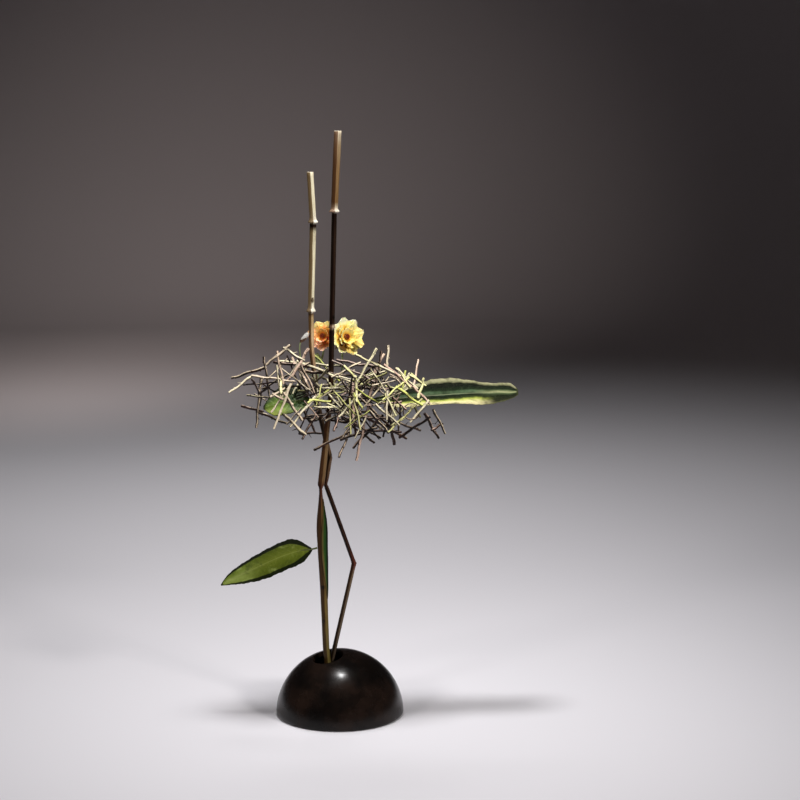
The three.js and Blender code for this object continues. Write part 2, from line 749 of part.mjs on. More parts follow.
// The nest is laid twig by twig. A twig touches one of its own color and is clear of all the rest.
function layNest() {
  const obstacles = keptClear();
  const nest = [];
  const isClear = (twig) => {
    const others = nest.filter((laid) => laid.color !== twig.color);
    return [...obstacles, ...others].every(
      (thing) => nearest(twig, thing) > twig.radius + thing.radius + clearance,
    );
  };
  const touches = (twig, laid) => nearest(twig, laid) < 0.45 * (twig.radius + laid.radius);
  const meetsOwn = (twig) => nest.some((laid) => laid.color === twig.color && touches(twig, laid));
  const moved = (twig, depth) => {
    const from = [twig.from[0], twig.from[1] + depth, twig.from[2]];
    const to = [twig.to[0], twig.to[1] + depth, twig.to[2]];
    return line(from, to, twig.radius, twig.color);
  };
  // Slides a twig forward and back in steps until it lies well, or failing that is at least clear.
  const settle = (twig, mustMeet) => {
    let spare = null;
    for (let step = 0; step <= 2 * reachInDepth; step++) {
      const depth = step % 2 ? -(step + 1) / 2 : step / 2;
      const tried = moved(twig, depth);
      if (!isClear(tried)) continue;
      if (meetsOwn(tried)) {
        nest.push(tried);
        return;
      }
      if (!spare) spare = tried;
    }
    if (spare && !mustMeet) nest.push(spare);
  };
  // A grip lies against a cane, in front of it where side is -1 and behind it where side is 1.
  const grip = (color, cane, z, side, from, to, rise) => {
    const [x, y] = between(cane.path, 2, z);
    const [, , halfDepth] = between(cane.girth, 0, z);
    const depth = y + side * (halfDepth + gripRadius + clearance);
    const end = (way) => [x - side * way, depth, z + rise * way];
    nest.push(line(end(from), end(to), gripRadius, color));
  };
  grip("brown", tallCane, 431, -1, -34, 30, -0.1);
  grip("brown", tallCane, 382, -1, -26, 38, 0.12);
  grip("brown", shortCane, 372, 1, -44, 26, 0.1);
  grip("pale", shortCane, 441, 1, -38, 44, 0.08);
  grip("pale", tallCane, 414, -1, -40, 46, 0.1);
  for (const [color, list] of [
    ["brown", brownTwigs],
    ["pale", paleTwigs],
  ]) {
    for (const [x1, y1, z1, x2, y2, z2] of list) {
      settle(line([x1, y1, z1], [x2, y2, z2], draw(thinnest, thickest), color), false);
    }
  }
  for (const color of ["brown", "pale"]) tieTogether(nest, color, isClear, touches);
  curlTendril(nest, isClear);
  for (let twig = 0; twig < drawnTwigs; twig++) {
    const color = draw(0, 1) < 0.55 ? "brown" : "pale";
    const before = nest.length;
    for (let attempt = 0; attempt < 200 && nest.length === before; attempt++) {
      const drawn = drawTwig(color);
      if (drawn) settle(drawn, true);
    }
  }
  return nest;
}

function drawTwig(color) {
  const share = [draw(-1, 1), draw(-1, 1), draw(-1, 1)];
  const way = [draw(-1, 1), draw(-0.6, 0.6), draw(-0.85, 0.85)];
  const half = draw(15, 37);
  const radius = draw(thinnest, thickest);
  const size = Math.sqrt(way[0] * way[0] + way[1] * way[1] + way[2] * way[2]);
  if (share[0] * share[0] + share[1] * share[1] + share[2] * share[2] > 1 || size < 0.3) return null;
  const middle = [lens.x + lens.halfX * share[0], lens.y + lens.halfY * share[1], lens.z + lens.halfZ * share[2]];
  const from = [0, 1, 2].map((item) => middle[item] - (way[item] / size) * half);
  const to = [0, 1, 2].map((item) => middle[item] + (way[item] / size) * half);
  return line(from, to, radius, color);
}

// Lays linking twigs until all of one color hold together, and drops what no link reaches.
function tieTogether(nest, color, isClear, touches) {
  const heldTogether = () => {
    const own = nest.filter((twig) => twig.color === color);
    const held = new Set([own[0]]);
    for (const twig of held) {
      for (const other of own) {
        if (!held.has(other) && touches(twig, other)) held.add(other);
      }
    }
    return [[...held], own.filter((twig) => !held.has(twig))];
  };
  const pointOn = (twig) => {
    const share = draw(0.12, 0.88);
    return [0, 1, 2].map((item) => twig.from[item] + (twig.to[item] - twig.from[item]) * share);
  };
  let [held, loose] = heldTogether();
  for (let tie = 0; tie < mostTies && loose.length; tie++) {
    let shortest = null;
    let least = longestTie;
    for (let attempt = 0; attempt < 120; attempt++) {
      const start = pointOn(held[Math.floor(draw(0, held.length))]);
      const end = pointOn(loose[Math.floor(draw(0, loose.length))]);
      const way = [0, 1, 2].map((item) => end[item] - start[item]);
      const size = Math.sqrt(way[0] * way[0] + way[1] * way[1] + way[2] * way[2]);
      const over = draw(3, 9);
      const radius = draw(thinnest, thickest);
      if (size < 8 || size > least) continue;
      const from = [0, 1, 2].map((item) => start[item] - (way[item] / size) * over);
      const to = [0, 1, 2].map((item) => end[item] + (way[item] / size) * over);
      const link = line(from, to, radius, color);
      if (!isClear(link)) continue;
      shortest = link;
      least = size;
    }
    if (shortest) nest.push(shortest);
    [held, loose] = heldTogether();
  }
  for (const twig of loose) nest.splice(nest.indexOf(twig), 1);
}

// A ring of short straight stretches, open at its end, from the middle of the first pale twig that has room.
function curlTendril(nest, isClear) {
  const away = (twig) => {
    const [x, y, z] = [0, 1, 2].map((item) => (twig.from[item] + twig.to[item]) / 2);
    return (x - tendril.x) ** 2 + (y - tendril.y) ** 2 + (z - tendril.z) ** 2;
  };
  const hosts = nest.filter((twig) => twig.color === "pale").sort((a, b) => away(a) - away(b));
  for (const host of hosts.slice(0, 6)) {
    const start = [0, 1, 2].map((item) => (host.from[item] + host.to[item]) / 2);
    const points = [];
    for (let bend = 0; bend <= tendril.bends; bend++) {
      const angle = (2 * Math.PI * bend) / (tendril.bends + 1);
      const across = tendril.radius * (Math.cos(angle) - 1);
      points.push([start[0] + across, start[1] - 0.6 * bend, start[2] - tendril.radius * Math.sin(angle)]);
    }
    const curl = linesAlong(points, tendril.thickness).map((part) => ({ ...part, color: "pale" }));
    if (curl.every(isClear)) {
      nest.push(...curl);
      return;
    }
  }
}

function twigGeometry({ from, to, radius }) {
  const start = new THREE.Vector3(...from);
  const way = new THREE.Vector3(...to).sub(start);
  const stick = new THREE.CylinderGeometry(radius * 0.8, radius, way.length(), twigSides);
  const turn = new THREE.Quaternion().setFromUnitVectors(new THREE.Vector3(0, 1, 0), way.clone().normalize());
  return stick.applyQuaternion(turn).translate(...start.addScaledVector(way, 0.5).toArray());
}

const nest = layNest();
const sticks = (color) => nest.filter((twig) => twig.color === color).map(twigGeometry);

addPiece(arrangement, "vase", vaseGeometry(), "#14110f", 0.3);
const holder = new THREE.Group();
holder.position.set(pinHolder.x, pinHolder.y, vase.wall + clearance);
arrangement.add(holder);
addPiece(holder, "pin_holder", pinHolderGeometry(), "#8a7a4e", 0.45, 1);
addPiece(arrangement, "tall_cane", caneGeometry(tallCane), "#6f5a33", 0.55);
addPiece(arrangement, "short_cane", caneGeometry(shortCane), "#cdb98a", 0.55);
addPiece(arrangement, "sheath_leaf", sheathGeometry(), "#26401c", 0.5);
addPiece(arrangement, "lower_leaf", leafGeometry(lowerLeaf), "#5f7a2c", 0.5);
addPiece(arrangement, "nest_leaf_right", leafGeometry(rightLeaf), "#4f6d26", 0.45);
addPiece(arrangement, "nest_leaf_left", leafGeometry(leftLeaf), "#567a26", 0.5);
addBloom("right_bloom", rightBloom, { petals: "#f2dd77", eye: "#6b1f10", calyx: "#51632b" });
addBloom("left_bloom", leftBloom, { petals: "#f0a04e", eye: "#b02812", calyx: "#51632b" });
addPiece(arrangement, "bud", budGeometry(), "#cfcfc6", 0.7);
addPiece(arrangement, "twigs_brown", joined(sticks("brown")), "#4a372a", 0.8);
addPiece(arrangement, "twigs_pale", joined(sticks("pale")), "#cfc08e", 0.7);

export default arrangement;
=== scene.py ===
import math
import random

import bmesh
import bpy
from mathutils import Matrix, Quaternion, Vector


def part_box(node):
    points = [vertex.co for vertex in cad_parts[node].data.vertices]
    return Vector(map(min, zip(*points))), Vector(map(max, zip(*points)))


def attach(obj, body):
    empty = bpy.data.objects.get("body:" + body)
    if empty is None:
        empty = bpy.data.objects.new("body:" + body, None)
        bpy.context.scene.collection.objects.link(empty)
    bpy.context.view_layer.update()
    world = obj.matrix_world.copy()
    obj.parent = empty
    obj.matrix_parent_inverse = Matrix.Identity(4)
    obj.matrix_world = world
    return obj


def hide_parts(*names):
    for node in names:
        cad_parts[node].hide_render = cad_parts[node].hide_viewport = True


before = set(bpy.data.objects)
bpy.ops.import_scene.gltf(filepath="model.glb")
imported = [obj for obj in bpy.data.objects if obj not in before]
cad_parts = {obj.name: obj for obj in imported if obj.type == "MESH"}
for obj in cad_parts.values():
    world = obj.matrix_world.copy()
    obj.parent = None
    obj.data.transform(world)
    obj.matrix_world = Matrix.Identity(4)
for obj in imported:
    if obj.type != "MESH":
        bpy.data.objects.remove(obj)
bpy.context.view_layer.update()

mm = 0.001
upwards = Vector((0, 0, 1))
fullTurn = 2 * math.pi
goldenAngle = math.pi * (3 - math.sqrt(5))

# The view of the photograph, and a plain studio. A light is its place, what it aims at, its size, power,
# colour and the degrees that it spreads over. Only the softbox overhead shows in the glaze.
camera = {"place": (0.0756, -2.1635, 0.701), "tilt": 82, "lens": 80}
studio = {
    "floorRadius": 5,
    "sweepRadius": 2,
    "sweepSteps": 10,
    "wallHeight": 3,
    "floorColour": (0.74, 0.72, 0.76),
    "skyColour": (0.72, 0.6, 0.54, 1),
    "skyStrength": 0.032,
    "lights": {
        "overheadSoftbox": [(0.06, -0.1, 1.6), (0.08, 0.06, 0), 0.22, 6.6, (1, 1, 1), 110],
        "backSoftbox": [(-0.15, 1.3, 2.6), (-0.15, 1.3, 0), 0.8, 8, (1, 1, 1), 92],
        "rightLamp": [(1.25, -1.3, 1), (0, 0, 0.4), 0.3, 2.6, (1, 0.97, 0.93), 60],
        "leftLamp": [(-1.1, -1.3, 0.95), (0, 0, 0.4), 0.35, 1.2, (1, 0.97, 0.94), 60],
        "wallLamp": [(-1, 1, 1), (-0.7, 5.6, -0.1), 0.6, 4, (1, 0.86, 0.79), 48],
    },
}


def choose(*pieces):
    if bpy.context.mode != "OBJECT":
        bpy.ops.object.mode_set(mode="OBJECT")
    bpy.ops.object.select_all(action="DESELECT")
    for piece in pieces:
        piece.select_set(True)
        bpy.context.view_layer.objects.active = pieces[0]


# Starts a piece from one of Blender's primitives, with its place and size already in its mesh.
def startFrom(primitive, stretch=(1, 1, 1), **settings):
    choose()
    primitive(**settings)
    bpy.context.object.scale = stretch
    bpy.ops.object.transform_apply(location=True, rotation=True, scale=True)
    return bpy.context.object


def openMesh(piece, kind="VERT"):
    choose(piece)
    bpy.ops.object.mode_set(mode="EDIT")
    bpy.ops.mesh.select_mode(type=kind)
    bpy.ops.mesh.select_all(action="SELECT")


def closeMesh():
    bpy.ops.object.mode_set(mode="OBJECT")


def pick(piece, kind, wanted):
    bpy.ops.mesh.select_all(action="DESELECT")
    mesh = bmesh.from_edit_mesh(piece.data)
    for part in getattr(mesh, kind):
        if wanted(part):
            part.select_set(True)
    bmesh.update_edit_mesh(piece.data)


def extrudeBy(move):
    bpy.ops.mesh.extrude_region_move(TRANSFORM_OT_translate={"value": move})


def resizeBy(share, centre):
    bpy.ops.transform.resize(value=share, center_override=centre)


# Grows a closed piece through rings, each a centre, half width and half depth. The last ring stays picked.
# With a skip, some of the corners are first drawn in by the flute.
def growThrough(rings, sides, skip=0, flute=1, kind="VERT"):
    centre, width, depth = rings[0]
    centre = Vector(centre) * mm
    piece = startFrom(
        bpy.ops.mesh.primitive_circle_add, vertices=sides, radius=mm, fill_type="NGON", location=centre
    )
    openMesh(piece, kind)
    if skip:
        bpy.ops.mesh.select_nth(skip=skip, nth=1)
        resizeBy((flute, flute, 1), centre)
        bpy.ops.mesh.select_all(action="SELECT")
    resizeBy((width, depth, 1), centre)
    for before, (place, newWidth, newDepth) in zip(rings, rings[1:]):
        extrudeBy((Vector(place) - Vector(before[0])) * mm)
        resizeBy((newWidth / before[1], newDepth / before[2], 1), Vector(place) * mm)
    return piece


def cutAway(piece, place, normal, **settings):
    openMesh(piece)
    bpy.ops.mesh.bisect(plane_co=place, plane_no=normal, **settings)
    closeMesh()


def modify(piece, kind, **settings):
    choose(piece)
    bpy.ops.object.modifier_add(type=kind)
    modifier = piece.modifiers[-1]
    for setting, value in settings.items():
        setattr(modifier, setting, value)
    bpy.ops.object.modifier_apply(modifier=modifier.name)


def turnFacesOut(piece, merge=0):
    openMesh(piece)
    if merge:
        bpy.ops.mesh.remove_doubles(threshold=merge)
    bpy.ops.mesh.normals_make_consistent(inside=False)
    closeMesh()


def smooth(piece, degrees):
    choose(piece)
    bpy.ops.object.shade_smooth_by_angle(angle=math.radians(degrees))


def copyOf(piece):
    copy = piece.copy()
    copy.data = piece.data.copy()
    bpy.context.scene.collection.objects.link(copy)
    return copy


def joinPieces(*pieces):
    choose(*pieces)
    bpy.ops.object.join()
    return pieces[0]


# A note on every point of a mesh that its finish reads, such as its place along a leaf.
def noteOn(piece, name, rule):
    note = piece.data.attributes.new(name, "FLOAT_VECTOR", "POINT")
    note.data.foreach_set("vector", [number for vert in piece.data.vertices for number in rule(vert)])


def finishPiece(piece, name, slot, node, degrees, *materials):
    if degrees:
        turnFacesOut(piece)
        smooth(piece, degrees)
    piece.name = piece.data.name = name
    for material in materials:
        piece.data.materials.append(material)
    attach(piece, "root")
    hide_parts(node)


def clamped(value):
    return min(max(value, 0), 1)


def bell(distance, width, power=2):
    return math.exp(-((distance / width) ** power))


# A place that lies out and aside from the middle, turned round it.
def swung(turn, out, aside, height):
    sine, cosine = math.sin(turn), math.cos(turn)
    return Vector((out * cosine - aside * sine, out * sine + aside * cosine, height))


# Straight from one row to the next by the number in the given column.
def between(rows, column, value):
    end = next((place for place, row in enumerate(rows) if row[column] > value), len(rows) - 1)
    low, high = rows[max(end, 1) - 1], rows[max(end, 1)]
    share = clamped((value - low[column]) / (high[column] - low[column]))
    return [a + (b - a) * share for a, b in zip(low, high)]


# A smooth way through rows of numbers, each row reached at an even step.
def through(rows, along):
    at = along * (len(rows) - 1)
    start = min(max(math.floor(at), 0), len(rows) - 2)
    t = at - start
    around = [rows[min(max(start + step, 0), len(rows) - 1)] for step in (-1, 0, 1, 2)]
    return [
        b * (2 * t**3 - 3 * t**2 + 1) + c * (3 * t**2 - 2 * t**3)
        + (c - a) / 2 * (t**3 - 2 * t**2 + t) + (d - b) / 2 * (t**3 - t**2)
        for a, b, c, d in zip(*around)
    ]


# A finish is a Principled shader with nodes in front of it. It starts from a colour that is then tinted and
# shaded in layers. Its patterns lie on Object coordinates, or on a note of the piece.
class Finish:
    def __init__(self, name, colour=None, gloss=0.5, ground=None, sockets=()):
        self.material = bpy.data.materials.new(name)
        self.material.use_nodes = True
        self.tree = self.material.node_tree
        self.shader = self.tree.nodes["Principled BSDF"]
        self.colour = colour
        self.ground = self.note(ground) if ground else self.add("TexCoord").outputs["Object"]
        for socket, value in {"Specular IOR Level": gloss, **dict(sockets)}.items():
            self.feed(self.shader.inputs[socket], value)

    def feed(self, socket, value):
        if isinstance(value, bpy.types.NodeSocket):
            self.tree.links.new(value, socket)
        else:
            socket.default_value = (*value, 1) if socket.type == "RGBA" else value

    def add(self, kind, inputs=(), **settings):
        node = self.tree.nodes.new("ShaderNode" + kind)
        for setting, value in settings.items():
            setattr(node, setting, value)
        for socket, value in dict(inputs).items():
            self.feed(node.inputs[socket], value)
        return node

    def note(self, name):
        return self.add("Attribute", attribute_name=name).outputs["Vector"]

    def parts(self, vector):
        return self.add("SeparateXYZ", {"Vector": vector}).outputs

    # A pattern's scale is one number, or three that stretch it.
    def stretched(self, scale, shift=(0, 0, 0)):
        if not isinstance(scale, tuple):
            return {"Vector": self.ground, "Scale": scale}
        node = self.add("Mapping", {"Vector": self.ground, "Scale": scale, "Location": shift})
        return {"Vector": node.outputs["Vector"], "Scale": 1}

    def noise(self, scale, detail=3, rough=0.55, shift=(0, 0, 0)):
        inputs = {**self.stretched(scale, shift), "Detail": detail, "Roughness": rough}
        return self.add("TexNoise", inputs).outputs["Fac"]

    def cells(self, scale, feature="F1"):
        return self.add("TexVoronoi", self.stretched(scale), feature=feature).outputs["Distance"]

    def math(self, how, *values):
        return self.add("Math", enumerate(values), operation=how).outputs[0]

    def plus(self, *values):
        return self.math("ADD", *values)

    def times(self, *values):
        return self.math("MULTIPLY", *values)

    # Spreads a value from 0 to 1 evenly round nought, as far as the reach either way.
    def around(self, value, reach):
        return self.math("MULTIPLY_ADD", value, 2 * reach, -reach)

    def fit(self, value, low, high, most=1.0, least=0.0, how="SMOOTHSTEP"):
        node = self.add("MapRange", enumerate((value, low, high, least, most)), interpolation_type=how)
        return node.outputs[0]

    def ramp(self, value, stops):
        node = self.add("ValToRGB", {"Fac": value})
        points = node.color_ramp.elements
        points.remove(points[-1])
        points[0].position, points[0].color = stops[0][0], (*stops[0][1], 1)
        for position, colour in stops[1:]:
            points.new(position).color = (*colour, 1)
        return node.outputs["Color"]

    def mix(self, share, first, second, how="MIX"):
        return self.add("Mix", {0: share, 6: first, 7: second}, data_type="RGBA", blend_type=how).outputs[2]

    def tint(self, share, colour):
        self.colour = self.mix(share, self.colour, colour)

    def shade(self, share, colour):
        self.colour = self.mix(share, self.colour, colour, "MULTIPLY")

    def bump(self, height, strength, distance):
        node = self.add("Bump", {"Height": height, "Strength": strength, "Distance": distance})
        normal = self.shader.inputs["Normal"]
        if normal.is_linked:
            self.feed(node.inputs["Normal"], normal.links[0].from_socket)
        self.feed(normal, node.outputs["Normal"])

    def done(self, roughness):
        self.feed(self.shader.inputs["Base Color"], self.colour)
        self.feed(self.shader.inputs["Roughness"], roughness)
        return self.material


# A finish of two colours in fine fibres: the pattern's scale and detail, where it turns, bump and roughness.
def fibreFinish(name, colours, scale, detail, turn, bump, rough, gloss=0.5, sockets=()):
    finish = Finish(name, colours[0], gloss, sockets=sockets)
    fibre = finish.noise(scale, detail)
    finish.tint(finish.fit(fibre, *turn), colours[1])
    finish.bump(fibre, bump, 0.0002)
    return finish.done(rough)


def makeCamera():
    bpy.ops.object.camera_add(location=camera["place"], rotation=(math.radians(camera["tilt"]), 0, 0))
    bpy.context.object.data.lens = camera["lens"]
    bpy.context.scene.camera = bpy.context.object


def makeStudio():
    for name, (place, target, size, power, colour, spread) in studio["lights"].items():
        turn = (Vector(target) - Vector(place)).to_track_quat("-Z", "Y")
        bpy.ops.object.light_add(type="AREA", location=place, rotation=turn.to_euler())
        lamp = bpy.context.object
        lamp.name = name
        lamp.data.shape = "DISK"
        lamp.data.size = size
        lamp.data.energy = power
        lamp.data.color = colour
        lamp.data.spread = math.radians(spread)
        lamp.visible_camera = False
        lamp.visible_glossy = name == "overheadSoftbox"
    sky = bpy.data.worlds.new("studioAir")
    sky.use_nodes = True
    bpy.context.scene.world = sky
    background = sky.node_tree.nodes["Background"]
    background.inputs["Color"].default_value = studio["skyColour"]
    background.inputs["Strength"].default_value = studio["skyStrength"]
    bpy.context.scene.view_settings.view_transform = "Standard"


# A round floor that sweeps up into a wall, so that it has no horizon from any side.
def makeFloor():
    radius, sweep = studio["floorRadius"], studio["sweepRadius"]
    floor = startFrom(bpy.ops.mesh.primitive_circle_add, vertices=96, radius=radius)
    openMesh(floor, "EDGE")
    reach, height = radius, 0
    for step in range(1, studio["sweepSteps"] + 1):
        angle = math.pi / 2 * step / studio["sweepSteps"]
        newReach = radius + sweep * math.sin(angle)
        newHeight = sweep * (1 - math.cos(angle))
        extrudeBy((0, 0, newHeight - height))
        resizeBy((newReach / reach, newReach / reach, 1), (0, 0, newHeight))
        reach, height = newReach, newHeight
    extrudeBy((0, 0, studio["wallHeight"]))
    pick(floor, "edges", lambda edge: all(abs(vert.co.z) < mm for vert in edge.verts))
    bpy.ops.mesh.edge_face_add()
    closeMesh()
    smooth(floor, 30)
    finish = Finish("paleFloor", tuple(part * 0.97 for part in studio["floorColour"]))
    finish.tint(finish.noise(0.6), studio["floorColour"])
    floor.data.materials.append(finish.done(0.62))
    floor.name = "floor"


# The vase: a half sphere of dark satin glaze with its mouth off the middle.
vaseShape = {
    "wall": 6,
    "footBevel": 2.5,
    "mouth": (-15, -11),
    "mouthEdge": 19.5,
    "lipRound": 2,
    "glaze": (0.0032, 0.0024, 0.0021),
    "glazeThin": (0.015, 0.0085, 0.006),
    "speck": (0.05, 0.036, 0.028),
}


def makeVase():
    low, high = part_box("vase")
    radius, wall = (high.x - low.x) / 2 / mm, vaseShape["wall"]
    x, y = vaseShape["mouth"]
    square = Vector((x, y, math.sqrt(radius**2 - x**2 - y**2))).normalized()
    vase = startFrom(
        bpy.ops.mesh.primitive_uv_sphere_add, segments=144, ring_count=96, radius=radius * mm,
        rotation=upwards.rotation_difference(square).to_euler(),
    )
    mouthHeight = math.sqrt(radius**2 - vaseShape["mouthEdge"] ** 2) * mm
    cutAway(vase, square * mouthHeight, square, clear_outer=True)
    modify(vase, "SOLIDIFY", thickness=wall * mm, offset=-1, use_even_offset=True)
    modify(
        vase, "BEVEL", width=vaseShape["lipRound"] * mm, segments=5, limit_method="ANGLE",
        angle_limit=math.radians(62), use_clamp_overlap=True,
    )
    inWall = (radius - wall / 2) * mm
    closeFoot(vase, lambda face: face.calc_center_median().length < inWall, radius - wall, wall)
    closeFoot(vase, lambda face: face.calc_center_median().length > inWall, radius, 0)
    finish = Finish("darkSatinGlaze", vaseShape["glaze"], 0.2)
    finish.tint(finish.fit(finish.noise(26, 4), 0.35, 0.75), vaseShape["glazeThin"])
    finish.tint(finish.fit(finish.cells(420), 0.1, 0.04, 0.35), vaseShape["speck"])
    finish.bump(finish.noise(420, 2), 0.1, 0.0003)
    finish.bump(finish.noise(55, 2), 0.08, 0.001)
    glaze = finish.done(finish.fit(finish.noise(70), 0.3, 0.7, 0.3, 0.2, "LINEAR"))
    finishPiece(vase, "domeVase", "vase_glaze", "vase", 50, glaze)


# Cuts one skin of the vase off level and closes it with a flat bottom and a slanted edge.
def closeFoot(vase, inSkin, radius, bottom):
    bevel = vaseShape["footBevel"]
    height = bottom + bevel
    openMesh(vase, "FACE")
    pick(vase, "faces", inSkin)
    bpy.ops.mesh.bisect(plane_co=(0, 0, height * mm), plane_no=upwards, clear_inner=True, use_fill=True)
    pick(
        vase, "faces",
        lambda face: len(face.verts) > 60 and abs(face.calc_center_median().z / mm - height) < 0.1,
    )
    extrudeBy((0, 0, -bevel * mm))
    share = 1 - bevel / math.sqrt(radius**2 - height**2)
    resizeBy((share, share, 1), (0, 0, bottom * mm))
    closeMesh()


# Brass for the pin holder, dull and water-stained between the pins.
def finishPinHolder():
    finish = Finish("dullBrass", sockets={"Metallic": 1})
    stain = finish.noise(140, 4)
    stops = [(0.35, (0.42, 0.3, 0.12)), (0.6, (0.55, 0.44, 0.2)), (0.8, (0.2, 0.24, 0.16))]
    finish.colour = finish.ramp(stain, stops)
    finish.bump(finish.noise(600), 0.2, 0.0002)
    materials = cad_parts["pin_holder"].data.materials
    materials.clear()
    materials.append(finish.done(finish.fit(stain, 0.3, 0.8, 0.6, 0.3)))


# The canes. A path gives x, y, z of the centre line, and a girth the height, half width and half depth.
# A ring is its height and radius, and a scar its height and its way round. The colours go up by height.
tallCane = {
    "name": "tallCane",
    "slot": "cane_brown",
    "node": "tall_cane",
    "path": [
        [-14.6, -14, 14.7], [-14.8, -13.5, 69], [-16.5, -12.5, 87], [-21.4, -10, 234], [-22.2, -9, 288],
        [-18.2, -9, 322], [-14.3, -9, 360], [-9.2, -9, 403], [-7.5, -8, 483], [-3.7, -7, 628], [1, -6, 724],
    ],
    "girth": [
        [0, 4.1, 4.1], [120, 4.2, 4.2], [165, 4.6, 4.4], [203, 5.5, 4.5], [234, 6.2, 4.6], [250, 5.6, 4.9],
        [268, 3.4, 5.4], [282, 2, 5.6], [288, 2, 5.4], [293, 4.2, 3.9], [322, 4.3, 3.7], [345, 3.6, 3.5],
        [400, 3.3, 3.3], [628, 3.2, 3.2], [636, 4.3, 4.3], [724, 4.6, 4.6],
    ],
    "rings": [(488, 4.1), (628, 6.2)],
    "folds": [288],
    "scars": [(165, 4.5), (122, 4.4), (640, 1.2), (500, 5.6)],
    # The colour and share of the painted shade on the cane's left side.
    "dark": ((0.22, 0.12, 0.08), 0.9),
    "colours": [
        (0, (0.09, 0.075, 0.03)), (86, (0.145, 0.11, 0.03)), (130, (0.15, 0.1, 0.026)),
        (230, (0.15, 0.092, 0.028)),
        (262, (0.125, 0.072, 0.024)), (280, (0.075, 0.026, 0.014)), (292, (0.07, 0.02, 0.012)),
        (300, (0.165, 0.095, 0.04)), (350, (0.19, 0.115, 0.05)), (372, (0.15, 0.075, 0.035)),
        (420, (0.08, 0.038, 0.02)), (440, (0.018, 0.009, 0.006)), (485, (0.014, 0.007, 0.005)),
        (487, (0.5, 0.4, 0.29)), (489.5, (0.42, 0.32, 0.22)), (492, (0.014, 0.007, 0.005)),
        (600, (0.016, 0.008, 0.005)), (625.5, (0.01, 0.005, 0.004)), (627, (0.9, 0.86, 0.76)),
        (632, (0.78, 0.68, 0.5)), (638, (0.22, 0.125, 0.05)), (680, (0.27, 0.165, 0.075)),
        (706, (0.42, 0.3, 0.17)),
        (724, (0.74, 0.64, 0.47)),
    ],
}
shortCane = {
    "name": "shortCane",
    "slot": "cane_ivory",
    "node": "short_cane",
    "path": [
        [-22.2, -3, 14.7], [-7.3, -2.5, 80], [18.4, -1, 192], [-16.6, -1, 292], [-10.8, -1, 326],
        [-16.8, -1, 351], [-25.2, -1, 391], [-32.7, -1, 459], [-33, -1, 507], [-29.8, 0, 615], [-33, 0, 675],
    ],
    "girth": [
        [0, 3, 3], [186, 2.9, 3.1], [192, 3.3, 3.5], [198, 2.8, 3.1], [286, 2.8, 3.2], [292, 2.4, 3.6],
        [300, 3.1, 3], [500, 3.2, 3.2], [513, 3.8, 3.8], [675, 4.1, 4.1],
    ],
    "rings": [(507, 5.7), (615, 6)],
    "folds": [192, 292],
    "scars": [(521, 5.2), (627, 2), (240, 4.2)],
    # The colour and share of the painted shade on the cane's left side.
    "dark": ((0.17, 0.11, 0.05), 0.94),
    "colours": [
        (0, (0.055, 0.042, 0.028)), (84, (0.085, 0.062, 0.042)), (150, (0.115, 0.078, 0.046)),
        (180, (0.15, 0.1, 0.055)), (188, (0.12, 0.034, 0.02)), (197, (0.1, 0.022, 0.014)),
        (210, (0.034, 0.014, 0.009)), (284, (0.02, 0.009, 0.006)), (296, (0.05, 0.016, 0.01)),
        (306, (0.105, 0.058, 0.03)), (350, (0.11, 0.066, 0.036)), (420, (0.13, 0.075, 0.042)),
        (445, (0.4, 0.26, 0.15)), (470, (0.64, 0.45, 0.26)), (500, (0.66, 0.48, 0.25)),
        (503, (0.1, 0.05, 0.028)),
        (505.6, (0.1, 0.05, 0.028)), (506.4, (0.92, 0.88, 0.76)), (511, (0.92, 0.87, 0.7)),
        (520, (0.84, 0.77, 0.55)), (603, (0.84, 0.77, 0.54)), (608, (0.026, 0.014, 0.01)),
        (613.6, (0.01, 0.006, 0.005)), (614.4, (0.92, 0.88, 0.76)), (620, (0.92, 0.86, 0.68)),
        (632, (0.84, 0.76, 0.53)), (675, (0.88, 0.8, 0.58)),
    ],
}
caneDetail = {
    "sides": 42,
    "wall": 1.2,
    "topBore": 12,
    "footBore": 14,
    "step": 5,
    "flute": 0.972,
    "pith": ((0.86, 0.8, 0.64), (0.45, 0.33, 0.18)),
}
# How far a joint's skirt stands out, by the height over the ring: 1 is the ring's own radius.
skirt = [
    (-2.4, 0), (-1.8, -0.1), (-1.45, 0.45), (-1.15, 0.95), (-0.5, 1), (0.2, 0.97), (0.9, 0.8), (1.8, 0.48),
    (3.2, 0.22), (5, 0.07), (7, 0),
]


def caneHalf(cane, z):
    _, width, depth = between(cane["girth"], 0, z)
    for ringZ, radius in cane["rings"]:
        if skirt[0][0] < z - ringZ < skirt[-1][0]:
            share = between(skirt, 0, z - ringZ)[1]
            width += (radius - width) * share
            depth += (radius - depth) * share
    swell = 1 + 0.008 * math.sin(z * 0.19) + 0.006 * math.sin(z * 0.47 + 1)
    swell += sum(0.055 * math.sin((z - fold) * 1.9 + 0.6) * bell(z - fold, 5.5) for fold in cane["folds"])
    return width * swell, depth * swell


def caneHeights(cane):
    foot, top, step = cane["path"][0][2], cane["path"][-1][2], caneDetail["step"]
    heights = [foot + step * number for number in range(int((top - foot) / step) + 1)]
    for ringZ, _ in cane["rings"]:
        heights = [z for z in heights if not skirt[0][0] - 1 < z - ringZ < skirt[-1][0] + 1]
        heights += [ringZ + offset for offset, _ in skirt]
    for fold in cane["folds"]:
        heights = [z for z in heights if abs(z - fold) > 9]
        heights += [fold + offset for offset in range(-8, 9)]
    heights = sorted(z for z in heights if foot + 1 < z < top - 1.2)
    return [foot, foot + 0.8, *heights, top - 0.5, top]


